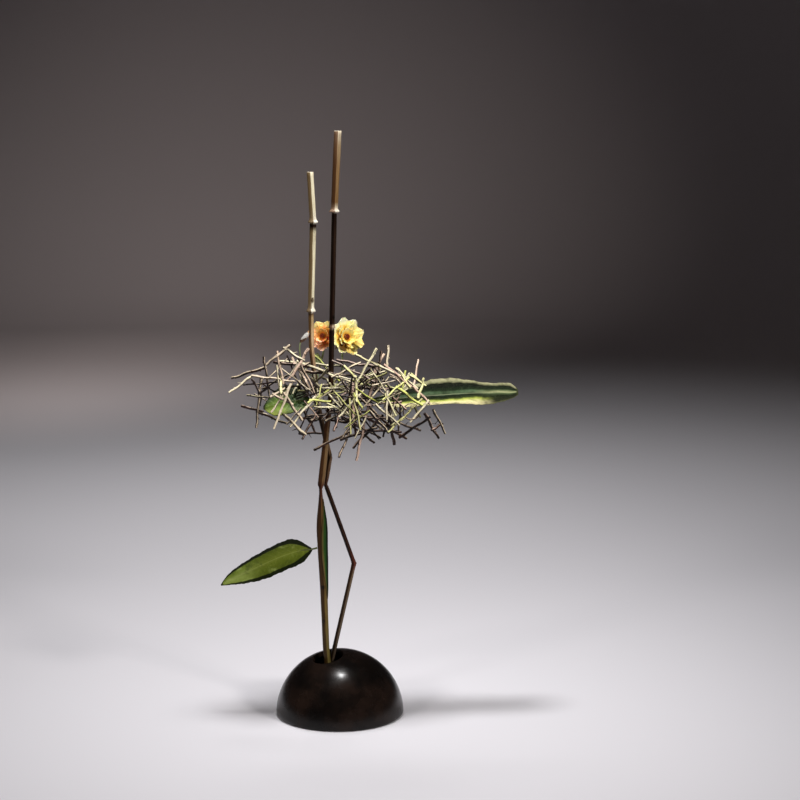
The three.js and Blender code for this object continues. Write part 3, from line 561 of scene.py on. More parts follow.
def growCane(cane):
    wall, (foot, *_, top) = caneDetail["wall"], [row[2] for row in cane["path"]]
    rows = [(z, *caneHalf(cane, z)) for z in caneHeights(cane)]
    rows[0] = (foot, rows[0][1] - 0.25, rows[0][2] - 0.25)
    rows[-1] = (top, rows[-1][1] - 0.3, rows[-1][2] - 0.3)
    inFoot, inTop = [(rows[end][1] - wall, rows[end][2] - wall) for end in (1, -2)]
    rows = [(foot + caneDetail["footBore"], *inFoot), (foot, *inFoot), *rows, (top, *inTop)]
    rows += [(top - caneDetail["topBore"], *inTop)]
    # Every third corner is drawn in a little, for the fine flutes that run up the cane.
    rings = [(between(cane["path"], 2, z), width, depth) for z, width, depth in rows]
    piece = growThrough(rings, caneDetail["sides"], 2, caneDetail["flute"])
    turnFacesOut(piece)
    return piece


def scarPlace(cane, z, angle):
    x, y, _ = between(cane["path"], 2, z)
    width, depth = caneHalf(cane, z)
    return Vector((x + math.cos(angle) * (width - 0.35), y + math.sin(angle) * (depth - 0.35), z))


# A scar left by a side shoot: a low oval bud with a rim.
def growScar(cane, z, angle):
    scar = startFrom(
        bpy.ops.mesh.primitive_uv_sphere_add, (0.95, 1.35, 2.5), segments=16, ring_count=10, radius=mm,
        location=scarPlace(cane, z, angle) * mm, rotation=(0, 0, angle),
    )
    openMesh(scar)
    pick(scar, "verts", lambda vert: vert.co.z > (z + 1.6) * mm)
    bpy.ops.transform.translate(value=swung(angle, 0.5, 0, 0.9) * mm)
    closeMesh()
    return scar


def makeCane(cane):
    name, top = cane["name"], cane["path"][-1][2]
    piece = joinPieces(growCane(cane), *[growScar(cane, *scar) for scar in cane["scars"]])
    scars = [scarPlace(cane, *scar) for scar in cane["scars"]]

    def fromMiddle(place):
        x, y, _ = between(cane["path"], 2, place.z / mm)
        return place - Vector((x, y, 0)) * mm

    # Where a point lies across the cane, read for the painted shade on its left side, and how near it lies to
    # a scar.
    def side(vert):
        x, y, z = fromMiddle(vert.co) / mm
        width, depth = caneHalf(cane, z)
        return x / width, y / depth, max(bell((vert.co / mm - scar).length, 2.6, 4) for scar in scars)

    noteOn(piece, "grain", lambda vert: fromMiddle(vert.co))
    noteOn(piece, "side", side)
    smooth(piece, 38)
    pith = fibreFinish(name + "Pith", caneDetail["pith"], 2600, 2, (0.35, 0.7), 0.4, 0.8)
    finishPiece(piece, name, cane["slot"], cane["node"], 0, caneFinish(cane), pith)
    inner = caneHalf(cane, top)[0] - caneDetail["wall"] * 0.8
    for face in piece.data.polygons:
        x, y, z = fromMiddle(face.center) / mm
        inBore = z > top - caneDetail["topBore"] - 1 and math.hypot(x, y) < inner
        if inBore or z > top - 0.3:
            face.material_index = 1


def caneFinish(cane):
    finish = Finish(cane["name"] + "Skin", None, 0.22, "grain")
    height = finish.plus(finish.parts(finish.ground)[2], finish.around(finish.noise(90, 2), 0.0015))
    top = cane["path"][-1][2]
    share = finish.fit(height, 0, top * mm, how="LINEAR")
    finish.colour = finish.ramp(share, [(z / top, colour) for z, colour in cane["colours"]])
    fibre = finish.noise((1500, 1500, 22), 3, 0.6)
    finish.tint(finish.fit(fibre, 0.42, 0.7, 0.55), (0.045, 0.022, 0.01))
    pale = finish.noise((700, 700, 14), 2, shift=(3, 1, 2))
    finish.shade(finish.fit(pale, 0.55, 0.8, 0.45), (1.5, 1.35, 1.1))
    # Painted shade: the left side of the cane, away from the light, is darkened.
    side, _, scarred = finish.parts(finish.note("side"))
    paintedSun = finish.plus(side, finish.around(finish.noise((500, 500, 30), 2), 0.25))
    dark, share = cane["dark"]
    finish.shade(finish.fit(paintedSun, 0.28, 0, share), dark)
    blotch = finish.noise((160, 160, 40), 4)
    finish.shade(finish.fit(blotch, 0.5, 0.78, 0.55), (0.42, 0.3, 0.22))
    finish.tint(finish.fit(finish.cells((900, 900, 420)), 0.16, 0.07, 0.5), (0.05, 0.03, 0.015))
    finish.shade(finish.fit(scarred, 0.15, 0.75, 0.92), (0.1, 0.065, 0.045))
    finish.bump(fibre, 0.45, 0.00025)
    finish.bump(blotch, 0.25, 0.0004)
    return finish.done(finish.fit(blotch, 0.3, 0.7, 0.56, 0.36))


# The leaves. A spine gives x, y, z and its share of the full width, and near and far reach to the two edges.
# The bands are the colours from the near edge to the far one, at the base and, past tipFrom, at the tip.
leaves = {
    "lowerLeaf": {
        "node": "lower_leaf",
        "spine": [
            [-33.5, -10.5, 212, 0.12], [-50, -11.5, 210, 0.9], [-72, -12.5, 203, 1], [-97, -13.5, 192, 0.94],
            [-121, -15, 181, 0.66], [-136, -16, 174, 0.36], [-146, -17, 168, 0.04],
        ],
        "near": (5.5, -5, -16.5),
        "far": (-5.5, -2, 16.5),
        "wave": (0.9, 3),
        "stalk": [[-26.85, -10.3, 213.5]],
        "stalkRadius": 1.1,
        "veins": 15,
        "veinRise": 0.25,
        "veinShow": 0.07,
        "ribShow": 0.25,
        "curl": 0.48,
        "channel": 0,
        "bands": [
            (0, (0.06, 0.082, 0.008)), (0.3, (0.09, 0.118, 0.01)), (0.5, (0.135, 0.165, 0.02)),
            (0.75, (0.085, 0.112, 0.008)), (1, (0.055, 0.078, 0.007)),
        ],
        "tipBands": [
            (0, (0.1, 0.13, 0.017)), (0.3, (0.19, 0.24, 0.05)), (0.5, (0.22, 0.27, 0.066)),
            (0.7, (0.15, 0.205, 0.026)), (1, (0.075, 0.105, 0.012)),
        ],
        "tipFrom": 0.45,
        "patch": (0.38, 0.45, 0.14),
        "patchDark": (0.045, 0.062, 0.01),
        "rib": (0.3, 0.34, 0.1),
        "rim": (0.005, 0.007, 0.003),
        "rimFrom": 0.74,
        "rimBase": 0.36,
        "gloss": 0.12,
        "shine": 0.55,
    },
    "rightNestLeaf": {
        "node": "nest_leaf_right",
        "spine": [
            [42, -9, 398, 0.1], [76, -8, 400, 0.72], [118, -5, 403, 1], [160, -2, 405, 0.94],
            [190, 1, 405, 0.8], [211, 3, 405, 0.62], [221, 4, 406, 0.2],
        ],
        "near": (0, -19, -12.5),
        "far": (0, 15, 15),
        "wave": (-2.2, 4),
        "stalk": [[20, -9, 396], [-6.5, -8.8, 394]],
        "stalkRadius": 1.3,
        "veins": 22,
        "veinRise": 0.4,
        "veinShow": 0.02,
        "ribShow": 0.6,
        "curl": 0.48,
        "channel": 1.5,
        # Painted light and shade across the folded blade: a pale lit rim at the far edge, dark shaded bands,
        # a pale painted highlight along the middle and a bright lit band along the near edge.
        "bands": [
            (0, (0.5, 0.44, 0.24)), (0.16, (0.62, 0.56, 0.28)), (0.3, (0.34, 0.38, 0.07)),
            (0.37, (0.03, 0.042, 0.01)), (0.42, (0.005, 0.008, 0.003)), (0.48, (0.006, 0.012, 0.005)),
            (0.53, (0.08, 0.12, 0.066)), (0.59, (0.05, 0.085, 0.042)), (0.65, (0.005, 0.012, 0.004)),
            (0.78, (0.002, 0.003, 0.002)), (0.87, (0.003, 0.004, 0.002)), (0.93, (0.3, 0.29, 0.16)),
            (1, (0.44, 0.42, 0.26)),
        ],
        # The same painted light and shade towards the tip.
        "tipBands": [
            (0, (0.1, 0.1, 0.045)), (0.1, (0.012, 0.013, 0.006)), (0.38, (0.005, 0.008, 0.003)),
            (0.47, (0.05, 0.07, 0.03)), (0.54, (0.32, 0.33, 0.17)), (0.62, (0.07, 0.09, 0.04)),
            (0.7, (0.006, 0.012, 0.005)), (0.85, (0.004, 0.006, 0.003)), (0.92, (0.26, 0.25, 0.14)),
            (1, (0.38, 0.36, 0.22)),
        ],
        "tipFrom": 0.5,
        "patch": (0.012, 0.022, 0.009),
        "patchDark": (0.004, 0.007, 0.003),
        # The pale rib line is also painted highlight along the fold.
        "rib": (0.26, 0.29, 0.17),
        "rim": (0.03, 0.034, 0.014),
        "rimFrom": 0.985,
        "rimBase": 0,
        "gloss": 0.04,
        "shine": 0.72,
    },
    "leftNestLeaf": {
        "node": "nest_leaf_left",
        "spine": [
            [-33, -12, 397, 0.1], [-46, -13, 398, 0.8], [-62, -15, 397, 1], [-78, -17, 394, 0.8],
            [-91, -19, 390, 0.08],
        ],
        "near": (2, -18, -15),
        "far": (-2, 15, 17),
        "wave": (1.4, 2),
        "stalk": [[-13.7, -9.5, 396]],
        "stalkRadius": 1.3,
        "veins": 10,
        "veinRise": 0.6,
        "veinShow": 0.25,
        "ribShow": 0.6,
        "curl": 0.6,
        "channel": 0.6,
        # Painted light and shade: bright at the near edge, dark along the far edge at the top, in shade.
        "bands": [
            (0, (0.16, 0.22, 0.05)), (0.3, (0.035, 0.075, 0.016)), (0.55, (0.018, 0.045, 0.012)),
            (0.8, (0.007, 0.012, 0.005)), (1, (0.01, 0.014, 0.006)),
        ],
        # Towards the tip the painted light is brighter.
        "tipBands": [
            (0, (0.3, 0.34, 0.07)), (0.3, (0.16, 0.24, 0.03)), (0.55, (0.105, 0.175, 0.022)),
            (0.8, (0.03, 0.055, 0.012)), (1, (0.01, 0.016, 0.006)),
        ],
        "tipFrom": 0.4,
        "patch": (0.26, 0.36, 0.09),
        "patchDark": (0.012, 0.024, 0.008),
        "rib": (0.34, 0.42, 0.17),
        "rim": (0.012, 0.016, 0.006),
        "rimFrom": 0.94,
        "rimBase": 0.1,
        "gloss": 0.2,
        "shine": 0.46,
    },
}
leafDetail = {
    "cells": (150, 44),
    "thickness": 0.75,
    "edgeShare": 0.35,
    "veinHeight": 0.16,
    "stalk": ((0.1, 0.12, 0.035), (0.035, 0.03, 0.012)),
}


def leafMiddle(leaf, along, across):
    x, y, z, share = through(leaf["spine"], along)
    _, reachY, reachZ = reach = leaf["near" if across < 0 else "far"]
    out = abs(across) * max(share, 0.05)
    height, waves = leaf["wave"]
    lift = height * math.sin(waves * math.pi * along) * across**2 * max(share, 0)
    sag = math.copysign(0.12, across) * out * out
    rise = Vector((0, lift * 0.5 - sag * reachZ, lift + sag * reachY))
    return Vector((x, y, z)) + Vector(reach) * out + rise


# The blade with its sunken midrib, raised side veins and finely rippled edge.
def leafPoint(leaf, along, across):
    ripple = 0.018 * math.sin(along * 61 + across) + 0.012 * math.sin(along * 143)
    middle = leafMiddle(leaf, along, across * (1 + ripple * across**2))
    nudge = 1e-3
    place = min(max(along, nudge), 1 - nudge)
    ahead = leafMiddle(leaf, place + nudge, across) - leafMiddle(leaf, place - nudge, across)
    inward = across - nudge if across > 0 else across + nudge
    aside = leafMiddle(leaf, place, inward) - leafMiddle(leaf, place, across)
    upright = ahead.cross(aside if across <= 0 else -aside).normalized()
    away = abs(across)
    groove = -0.55 * bell(across, 0.05) + 0.3 * bell(away - 0.13, 0.08)
    phase = along * leaf["veins"] - away**1.3 * 1.9
    vein = leafDetail["veinHeight"] * bell(phase % 1 - 0.5, 0.11) * min(away * 6, 1) * (1 - across**4)
    puff = 0.35 * math.sin(phase * fullTurn) * away * (1 - away)
    curl = leaf["curl"] * across**6 * math.sin(along * 9)
    channel = leaf["channel"] * math.sin(across * 4.4 + along * 1.6) * (1 - across**4)
    rise = groove + (vein + puff) * leaf["veinRise"] + curl + channel
    return middle + upright * rise * max(through(leaf["spine"], along)[3], 0)


# A thin blade of the given cells, bent by a rule from along and across, and thinner towards its rim.
def makeBlade(point, cells, thickness=0.6, edgeShare=0.5):
    blade = startFrom(
        bpy.ops.mesh.primitive_grid_add, x_subdivisions=cells[0], y_subdivisions=cells[1], size=2
    )
    places = [((vert.co.x + 1) / 2, vert.co.y, 0) for vert in blade.data.vertices]
    noteOn(blade, "blade", lambda vert: places[vert.index])
    thick = blade.vertex_groups.new(name="thick")
    for vert, (along, across, _) in zip(blade.data.vertices, places):
        vert.co = point(along, across) * mm
        rim = max(abs(across), abs(2 * along - 1)) ** 6
        thick.add([vert.index], 1 - rim, "REPLACE")
    modify(
        blade, "SOLIDIFY", thickness=thickness * mm, offset=0, vertex_group="thick",
        thickness_vertex_group=edgeShare, use_rim=True,
    )
    return blade


# A smooth way through a few points, as a list of close ones, with even pace between uneven gaps.
def smoothWay(points, steps):
    knots = [Vector(point) for point in points]
    knots = [knots[0] * 2 - knots[1], *knots, knots[-1] * 2 - knots[-2]]
    way = []
    for p0, p1, p2, p3 in zip(knots, knots[1:], knots[2:], knots[3:]):
        t1 = (p1 - p0).length ** 0.5
        t2 = t1 + (p2 - p1).length ** 0.5
        t3 = t2 + (p3 - p2).length ** 0.5
        for step in range(steps):
            t = t1 + (t2 - t1) * step / steps
            middle = p1.lerp(p2, (t - t1) / (t2 - t1))
            back = p0.lerp(p1, t / t1).lerp(middle, t / t2)
            ahead = middle.lerp(p2.lerp(p3, (t - t2) / (t3 - t2)), (t - t1) / (t3 - t1))
            way.append(back.lerp(ahead, (t - t1) / (t2 - t1)))
    return [*way, knots[-2]]


# A round stem through the points. radiusAt gives its radius from the share of the way along.
def makeStem(points, radiusAt, steps=8, resolution=4):
    way = smoothWay(points, steps)
    choose()
    bpy.ops.curve.primitive_nurbs_path_add()
    curve = bpy.context.object.data
    curve.splines.clear()
    spline = curve.splines.new("POLY")
    spline.points.add(len(way) - 1)
    for index, (knot, place) in enumerate(zip(spline.points, way)):
        knot.co = (*(place * mm), 1)
        knot.radius = radiusAt(index / (len(way) - 1))
    curve.bevel_depth = mm
    curve.bevel_resolution = resolution
    curve.use_fill_caps = True
    curve.dimensions = "3D"
    bpy.ops.object.convert(target="MESH")
    stem = bpy.context.object
    turnFacesOut(stem, merge=0.00002)
    return stem


def makeLeaf(leaf, name):
    blade = makeBlade(
        lambda along, across: leafPoint(leaf, along, across),
        leafDetail["cells"], leafDetail["thickness"], leafDetail["edgeShare"],
    )
    # The rib runs on from the stalk under the blade and thins out towards the tip.
    ribs = [through(leaf["spine"], share)[:3] for share in (0, 0.12, 0.3, 0.5, 0.7, 0.85)]
    stalk = makeStem(
        [*reversed(leaf["stalk"]), *ribs],
        lambda share: leaf["stalkRadius"] * (1.15 - 0.35 * min(share * 3, 1) - 0.66 * max(share - 0.25, 0)),
    )
    noteOn(stalk, "blade", lambda vert: (0.5, 0, 1))
    blade.data.materials.append(leafFinish(name + "Top", leaf))
    stalk.data.materials.append(
        fibreFinish(name + "Stalk", leafDetail["stalk"], (60, 900, 900), 3, (0.35, 0.7), 0.3, 0.5, 0.4)
    )
    finishPiece(joinPieces(blade, stalk), name, "leaf_green", leaf["node"], 55)


# The pattern of a leaf: how near a point is to its midrib, to a side vein and to the fine net.
def veinPattern(finish, leaf):
    along, across, _ = finish.parts(finish.note("blade"))
    away = finish.math("ABSOLUTE", across)
    bent = finish.times(finish.math("POWER", away, 1.3), 1.9)
    phase = finish.math("SUBTRACT", finish.times(along, leaf["veins"]), bent)
    near = finish.math("ABSOLUTE", finish.math("SUBTRACT", finish.math("FRACT", phase), 0.5))
    side = finish.times(finish.fit(near, 0.11, 0.015), finish.fit(away, 0.98, 0.7))
    net = finish.fit(finish.cells(620, "DISTANCE_TO_EDGE"), 0.06, 0)
    return along, across, away, side, finish.fit(away, 0.04, 0.016), net


def leafFinish(name, leaf):
    soft = {"Subsurface Weight": 0.04, "Subsurface Radius": (0.001, 0.002, 0.0005)}
    finish = Finish(name, None, leaf["gloss"], sockets=soft)
    along, across, away, side, rib, net = veinPattern(finish, leaf)
    wander = finish.around(finish.noise(45), 0.1)
    band = finish.plus(finish.math("MULTIPLY_ADD", across, 0.5, 0.5), wander)
    tip = finish.fit(finish.plus(along, wander), leaf["tipFrom"], leaf["tipFrom"] + 0.22)
    finish.colour = finish.mix(tip, finish.ramp(band, leaf["bands"]), finish.ramp(band, leaf["tipBands"]))
    cloud = finish.noise(75, 4)
    finish.tint(finish.fit(cloud, 0.54, 0.74, 0.5), leaf["patch"])
    finish.tint(finish.fit(cloud, 0.46, 0.3, 0.6), leaf["patchDark"])
    fleck = finish.noise(330, 3, 0.6)
    finish.shade(finish.fit(fleck, 0.5, 0.72, 0.5), (0.55, 0.6, 0.45))
    for pattern, share in ((net, 0.12), (side, leaf["veinShow"]), (rib, leaf["ribShow"])):
        finish.tint(finish.times(pattern, share), leaf["rib"])
    # The dark rim along the edge and at the base and tip is partly painted shade of the curled edge.
    ragged = finish.math("MULTIPLY_ADD", fleck, 0.06, finish.plus(away, -0.03))
    ragged = finish.plus(ragged, finish.fit(along, 0.3, 0.03, leaf["rimBase"]))
    finish.tint(finish.fit(ragged, leaf["rimFrom"] - 0.02, leaf["rimFrom"] + 0.03, 0.95), leaf["rim"])
    ends = finish.math("ABSOLUTE", finish.around(along, 1))
    finish.tint(finish.fit(ends, 0.84, 0.93, 0.95), leaf["rim"])
    finish.bump(net, -0.25, 0.00015)
    finish.bump(side, -0.3 * leaf["veinRise"], 0.0003)
    finish.bump(fleck, 0.12, 0.0003)
    return finish.done(finish.fit(cloud, 0.3, 0.7, leaf["shine"] + 0.14, leaf["shine"], "LINEAR"))


# The slim sheath leaf round the front right of the tall cane.
sheathLeaf = {
    "low": 150,
    "high": 276,
    "turn": -0.62,
    "stands": 1,
    "bands": [
        (0, (0.11, 0.07, 0.026)), (0.12, (0.11, 0.095, 0.028)), (0.2, (0.03, 0.075, 0.014)),
        (0.36, (0.012, 0.048, 0.009)), (0.46, (0.005, 0.016, 0.004)), (0.54, (0.002, 0.005, 0.002)),
        (1, (0.002, 0.004, 0.002)),
    ],
    "deep": (0.3, 0.3, 0.26),
    "streak": (0.06, 0.07, 0.02),
    "dry": (0.06, 0.03, 0.014),
}


def sheathPoint(along, across):
    z = sheathLeaf["low"] + (sheathLeaf["high"] - sheathLeaf["low"]) * along
    x, y, _ = between(tallCane["path"], 2, z)
    _, width, depth = between(tallCane["girth"], 0, z)
    out = sheathLeaf["stands"] + 0.09 * math.cos(across * 25) + 0.22 * across**4 * (1 + math.sin(along * 21))
    angle = sheathLeaf["turn"] + across * max(math.sin(math.pi * along), 0.02)
    return Vector((x + (width + out) * math.cos(angle), y + (depth + out) * math.sin(angle), z))


def makeSheath():
    finish = Finish("sheathSkin", None, 0.1)
    along, across, _ = finish.parts(finish.note("blade"))
    line = finish.fit(finish.math("SINE", finish.times(across, 46)), 0.2, 1)
    cloud = finish.noise((220, 220, 25), 4)
    band = finish.plus(finish.math("MULTIPLY_ADD", across, 0.5, 0.5), finish.around(cloud, 0.08))
    finish.colour = finish.ramp(band, sheathLeaf["bands"])
    finish.shade(finish.fit(cloud, 0.35, 0.68, 0.7), sheathLeaf["deep"])
    finish.tint(finish.times(line, 0.2), sheathLeaf["streak"])
    ends = finish.math("ABSOLUTE", finish.around(along, 1))
    finish.tint(finish.fit(ends, 0.86, 1, 0.9), sheathLeaf["dry"])
    finish.bump(line, 0.3, 0.0003)
    finish.bump(cloud, 0.2, 0.0003)
    skin = finish.done(finish.fit(cloud, 0.3, 0.7, 0.65, 0.5))
    finishPiece(makeBlade(sheathPoint, (120, 30), 0.8), "sheathLeaf", "sheath_green", "sheath_leaf", 55, skin)


# The nest, laid by the same rule and in the same order as the solids, so that every twig keeps its place.
brownTwigs = [
    (-89, -30, 454, -83, -20, 403), (-95, 2, 426, -101, -6, 363), (-78, -25, 447, -35, -18, 440),
    (-50, -12, 447, 18, -22, 421), (-88, -15, 440, -130, -5, 426), (-120, 10, 389, -92, 2, 383),
    (-101, 6, 383, -62, -8, 370), (-66, -44, 386, -42, -30, 361), (-48, -24, 359, -20, -16, 358),
    (-30, -15, 337, 16, -24, 362), (2, -16, 350, 48, -14, 365), (47, -40, 441, 22, -38, 324),
    (38, -54, 392, 62, -46, 363), (56, -22, 369, 84, -14, 351), (105, -30, 385, 123, -24, 353),
    (116, -22, 388, 131, -16, 357), (-3, -26, 396, 43, -18, 373), (53, -26, 461, 46, -30, 415),
    (-2, -14, 447, 47, -28, 439),
]
paleTwigs = [
    (-56, -36, 469, -86, -30, 444), (-34, -38, 465, -54, -44, 432), (-55, -50, 424, -76, -52, 369),
    (-80, -48, 407, -62, -48, 418), (-104, -32, 431, -50, -40, 425), (-104, -28, 430, -131, -36, 411),
    (48, -46, 466, 24, -50, 426), (22, -50, 459, 55, -42, 442), (61, -38, 469, 60, -42, 438),
    (56, -45, 446, 90, -40, 418), (70, -36, 441, 97, -34, 415), (87, -26, 431, 107, -28, 418),
    (91, -48, 419, 112, -46, 397), (111, -44, 402, 88, -44, 375), (8, -42, 445, 25, -46, 427),
    (19, -54, 413, 31, -54, 394), (19, -54, 412, 28, -50, 368), (46, -57, 400, 75, -50, 373),
    (-34, -38, 402, -8, -36, 400), (-64, -44, 386, -38, -38, 360), (57, -56, 413, 71, -54, 385),
]
# A grip holds a cane from the front or the back: colour, cane, height, side, reach either way and rise.
grips = [
    ("brown", tallCane, 431, -1, -34, 30, -0.1),
    ("brown", tallCane, 382, -1, -26, 38, 0.12),
    ("brown", shortCane, 372, 1, -44, 26, 0.1),
    ("pale", shortCane, 441, 1, -38, 44, 0.08),
    ("pale", tallCane, 414, -1, -40, 46, 0.1),
]
nestRule = {
    "seed": 4711,
    "clearance": 0.35,
    "thinnest": 1.4,
    "thickest": 2,
    "gripRadius": 1.7,
    "lensMiddle": (24, 4, 398),
    "lensHalf": (88, 46, 44),
    "drawnTwigs": 43,
    "reachInDepth": 24,
    "mostTies": 60,
    "longestTie": 62,
    "tendrilPlace": (96, -44, 386),
    "tendrilRadius": 10,
    "tendrilThickness": 1.1,
    "tendrilBends": 9,
}
fineTwigs = {
    "seed": 31,
    "radius": (0.9, 1.45),
    "halfLength": (10, 24),
    "patches": [
        {"middle": (38, -20, 400), "half": (58, 30, 34), "count": 74},
        {"middle": (-55, -22, 408), "half": (48, 24, 36), "count": 24},
    ],
}
seed = nestRule["seed"]


def draw(low, high):
    global seed
    seed = (seed * 16807) % 2147483647
    return low + ((high - low) * seed) / 2147483647


def rodLine(start, end, radius, colour=None):
    return {"from": list(start), "to": list(end), "radius": radius, "colour": colour}


def linesAlong(points, radius):
    return [rodLine(a[:3], b[:3], radius) for a, b in zip(points, points[1:])]


# The shortest way between two rods' centre lines.
def nearest(one, other):
    px, py, pz = one["from"]
    qx, qy, qz = other["from"]
    ax, ay, az = one["to"][0] - px, one["to"][1] - py, one["to"][2] - pz
    bx, by, bz = other["to"][0] - qx, other["to"][1] - qy, other["to"][2] - qz
    rx, ry, rz = px - qx, py - qy, pz - qz
    a = ax * ax + ay * ay + az * az
    e = bx * bx + by * by + bz * bz
    b = ax * bx + ay * by + az * bz
    c = ax * rx + ay * ry + az * rz
    f = bx * rx + by * ry + bz * rz
    spread = a * e - b * b
    s = min(max((b * f - c * e) / spread, 0), 1) if spread > 1e-6 else 0
    t = (b * s + f) / e
    if t < 0 or t > 1:
        t = min(max(t, 0), 1)
        s = min(max((b * t - c) / a, 0), 1)
    gx = rx + ax * s - bx * t
    gy = ry + ay * s - by * t
    gz = rz + az * s - bz * t
    return math.sqrt(gx * gx + gy * gy + gz * gz)


def touches(twig, laid):
    return nearest(twig, laid) < 0.45 * (twig["radius"] + laid["radius"])


def keptClear():
    lines = [*linesAlong(tallCane["path"], 3.7), *linesAlong(shortCane["path"], 3.3)]
    for bloom in (rightBloom, leftBloom):
        x, y, z = bloom["place"]
        lines.append(rodLine((x, y, z), (x, y + 1, z), bloom["outer"]["length"] + 4))
        lines += linesAlong([[x, y + 8, z - 2], *bloom["stem"]], stemRadius + 0.5)
    lines += linesAlong([bud["tip"], *bud["stalk"]], bud["radius"])
    for leaf in (leaves["rightNestLeaf"], leaves["leftNestLeaf"]):
        lines += linesAlong([leaf["spine"][0], *leaf["stalk"]], leaf["stalkRadius"] + 0.5)
        for across in (-1, -0.67, -0.33, 0, 0.33, 0.67, 1):
            reach = leaf["near"] if across < 0 else leaf["far"]
            out = abs(across)
            edge = [[row[i] + reach[i] * out * row[3] for i in range(3)] for row in leaf["spine"]]
            lines += linesAlong(edge, 3.2)
    return lines


class Nest:
    def __init__(self):
        self.obstacles = keptClear()
        self.twigs = []
        self.tendril = []

    def isClear(self, twig):
        room = twig["radius"] + nestRule["clearance"]
        for laid in self.twigs:
            if laid["colour"] != twig["colour"] and nearest(twig, laid) <= room + laid["radius"]:
                return False
        return all(nearest(twig, thing) > room + thing["radius"] for thing in self.obstacles)

    # Slides a twig forward and back in steps until it lies well, or failing that is at least clear.
    def settle(self, twig, mustMeet):
        spare = None
        for step in range(2 * nestRule["reachInDepth"] + 1):
            depth = -(step + 1) / 2 if step % 2 else step / 2
            start, end = twig["from"], twig["to"]
            tried = rodLine(
                (start[0], start[1] + depth, start[2]), (end[0], end[1] + depth, end[2]),
                twig["radius"], twig["colour"],
            )
            if not self.isClear(tried):
                continue
            if any(laid["colour"] == tried["colour"] and touches(tried, laid) for laid in self.twigs):
                self.twigs.append(tried)
                return
            spare = spare or tried
        if spare and not mustMeet:
            self.twigs.append(spare)

    def grip(self, colour, cane, z, side, start, end, rise):
        x, y, _ = between(cane["path"], 2, z)
        depth = between(cane["girth"], 0, z)[2]
        radius = nestRule["gripRadius"]
        out = y + side * (depth + radius + nestRule["clearance"])
        ends = [(x - side * way, out, z + rise * way) for way in (start, end)]
        self.twigs.append(rodLine(ends[0], ends[1], radius, colour))

    def heldAndLoose(self, colour):
        own = [twig for twig in self.twigs if twig["colour"] == colour]
        held = [own[0]]
        for twig in held:
            held += [other for other in own if not any(other is one for one in held) and touches(twig, other)]
        return held, [twig for twig in own if not any(twig is one for one in held)]

    def pointOn(self, twig):
        share = draw(0.12, 0.88)
        return [a + (b - a) * share for a, b in zip(twig["from"], twig["to"])]

    # Lays linking twigs until all of one colour hold together, and drops what no link reaches.
    def tieTogether(self, colour):
        held, loose = self.heldAndLoose(colour)
        for _ in range(nestRule["mostTies"]):
            if not loose:
                break
            shortest, least = None, nestRule["longestTie"]
            for _ in range(120):
                start = self.pointOn(held[math.floor(draw(0, len(held)))])
                end = self.pointOn(loose[math.floor(draw(0, len(loose)))])
                way = [b - a for a, b in zip(start, end)]
                size = math.sqrt(way[0] * way[0] + way[1] * way[1] + way[2] * way[2])
                over = draw(3, 9)
                radius = draw(nestRule["thinnest"], nestRule["thickest"])
                if size < 8 or size > least:
                    continue
                link = rodLine(
                    [a - (w / size) * over for a, w in zip(start, way)],
                    [b + (w / size) * over for b, w in zip(end, way)],
                    radius, colour,
                )
                if self.isClear(link):
                    shortest, least = link, size
            if shortest:
                self.twigs.append(shortest)
            held, loose = self.heldAndLoose(colour)
        self.twigs = [twig for twig in self.twigs if not any(twig is one for one in loose)]

    def curlTendril(self):
        place = nestRule["tendrilPlace"]

        def away(twig):
            middle = [(a + b) / 2 for a, b in zip(twig["from"], twig["to"])]
            return sum((m - p) * (m - p) for m, p in zip(middle, place))

        hosts = sorted((twig for twig in self.twigs if twig["colour"] == "pale"), key=away)
        radius, bends = nestRule["tendrilRadius"], nestRule["tendrilBends"]
        for host in hosts[:6]:
            x, y, z = [(a + b) / 2 for a, b in zip(host["from"], host["to"])]
            points = []
            for bend in range(bends + 1):
                angle = (2 * math.pi * bend) / (bends + 1)
                points.append([
                    x + radius * (math.cos(angle) - 1), y - 0.6 * bend, z - radius * math.sin(angle),
                ])
            curl = linesAlong(points, nestRule["tendrilThickness"])
            for part in curl:
                part["colour"] = "pale"
            if all(self.isClear(part) for part in curl):
                self.twigs += curl
                self.tendril = points
                return

    def drawTwig(self, colour):
        share = [draw(-1, 1), draw(-1, 1), draw(-1, 1)]
        way = [draw(-1, 1), draw(-0.6, 0.6), draw(-0.85, 0.85)]
        half = draw(15, 37)
        radius = draw(nestRule["thinnest"], nestRule["thickest"])
        size = math.sqrt(way[0] * way[0] + way[1] * way[1] + way[2] * way[2])
        if share[0] * share[0] + share[1] * share[1] + share[2] * share[2] > 1 or size < 0.3:
            return None
        middle = [m + h * s for m, h, s in zip(nestRule["lensMiddle"], nestRule["lensHalf"], share)]
        start = [m - (w / size) * half for m, w in zip(middle, way)]
        end = [m + (w / size) * half for m, w in zip(middle, way)]
        return rodLine(start, end, radius, colour)

    def lay(self):
        for grip in grips:
            self.grip(*grip)
        for colour, rows in (("brown", brownTwigs), ("pale", paleTwigs)):
            for row in rows:
                radius = draw(nestRule["thinnest"], nestRule["thickest"])
                self.settle(rodLine(row[:3], row[3:], radius, colour), False)
        for colour in ("brown", "pale"):
            self.tieTogether(colour)
        self.curlTendril()
        for _ in range(nestRule["drawnTwigs"]):
            colour = "brown" if draw(0, 1) < 0.55 else "pale"
            before = len(self.twigs)
            for _ in range(200):
                drawn = self.drawTwig(colour)
                if drawn:
                    self.settle(drawn, True)
                if len(self.twigs) > before:
                    break


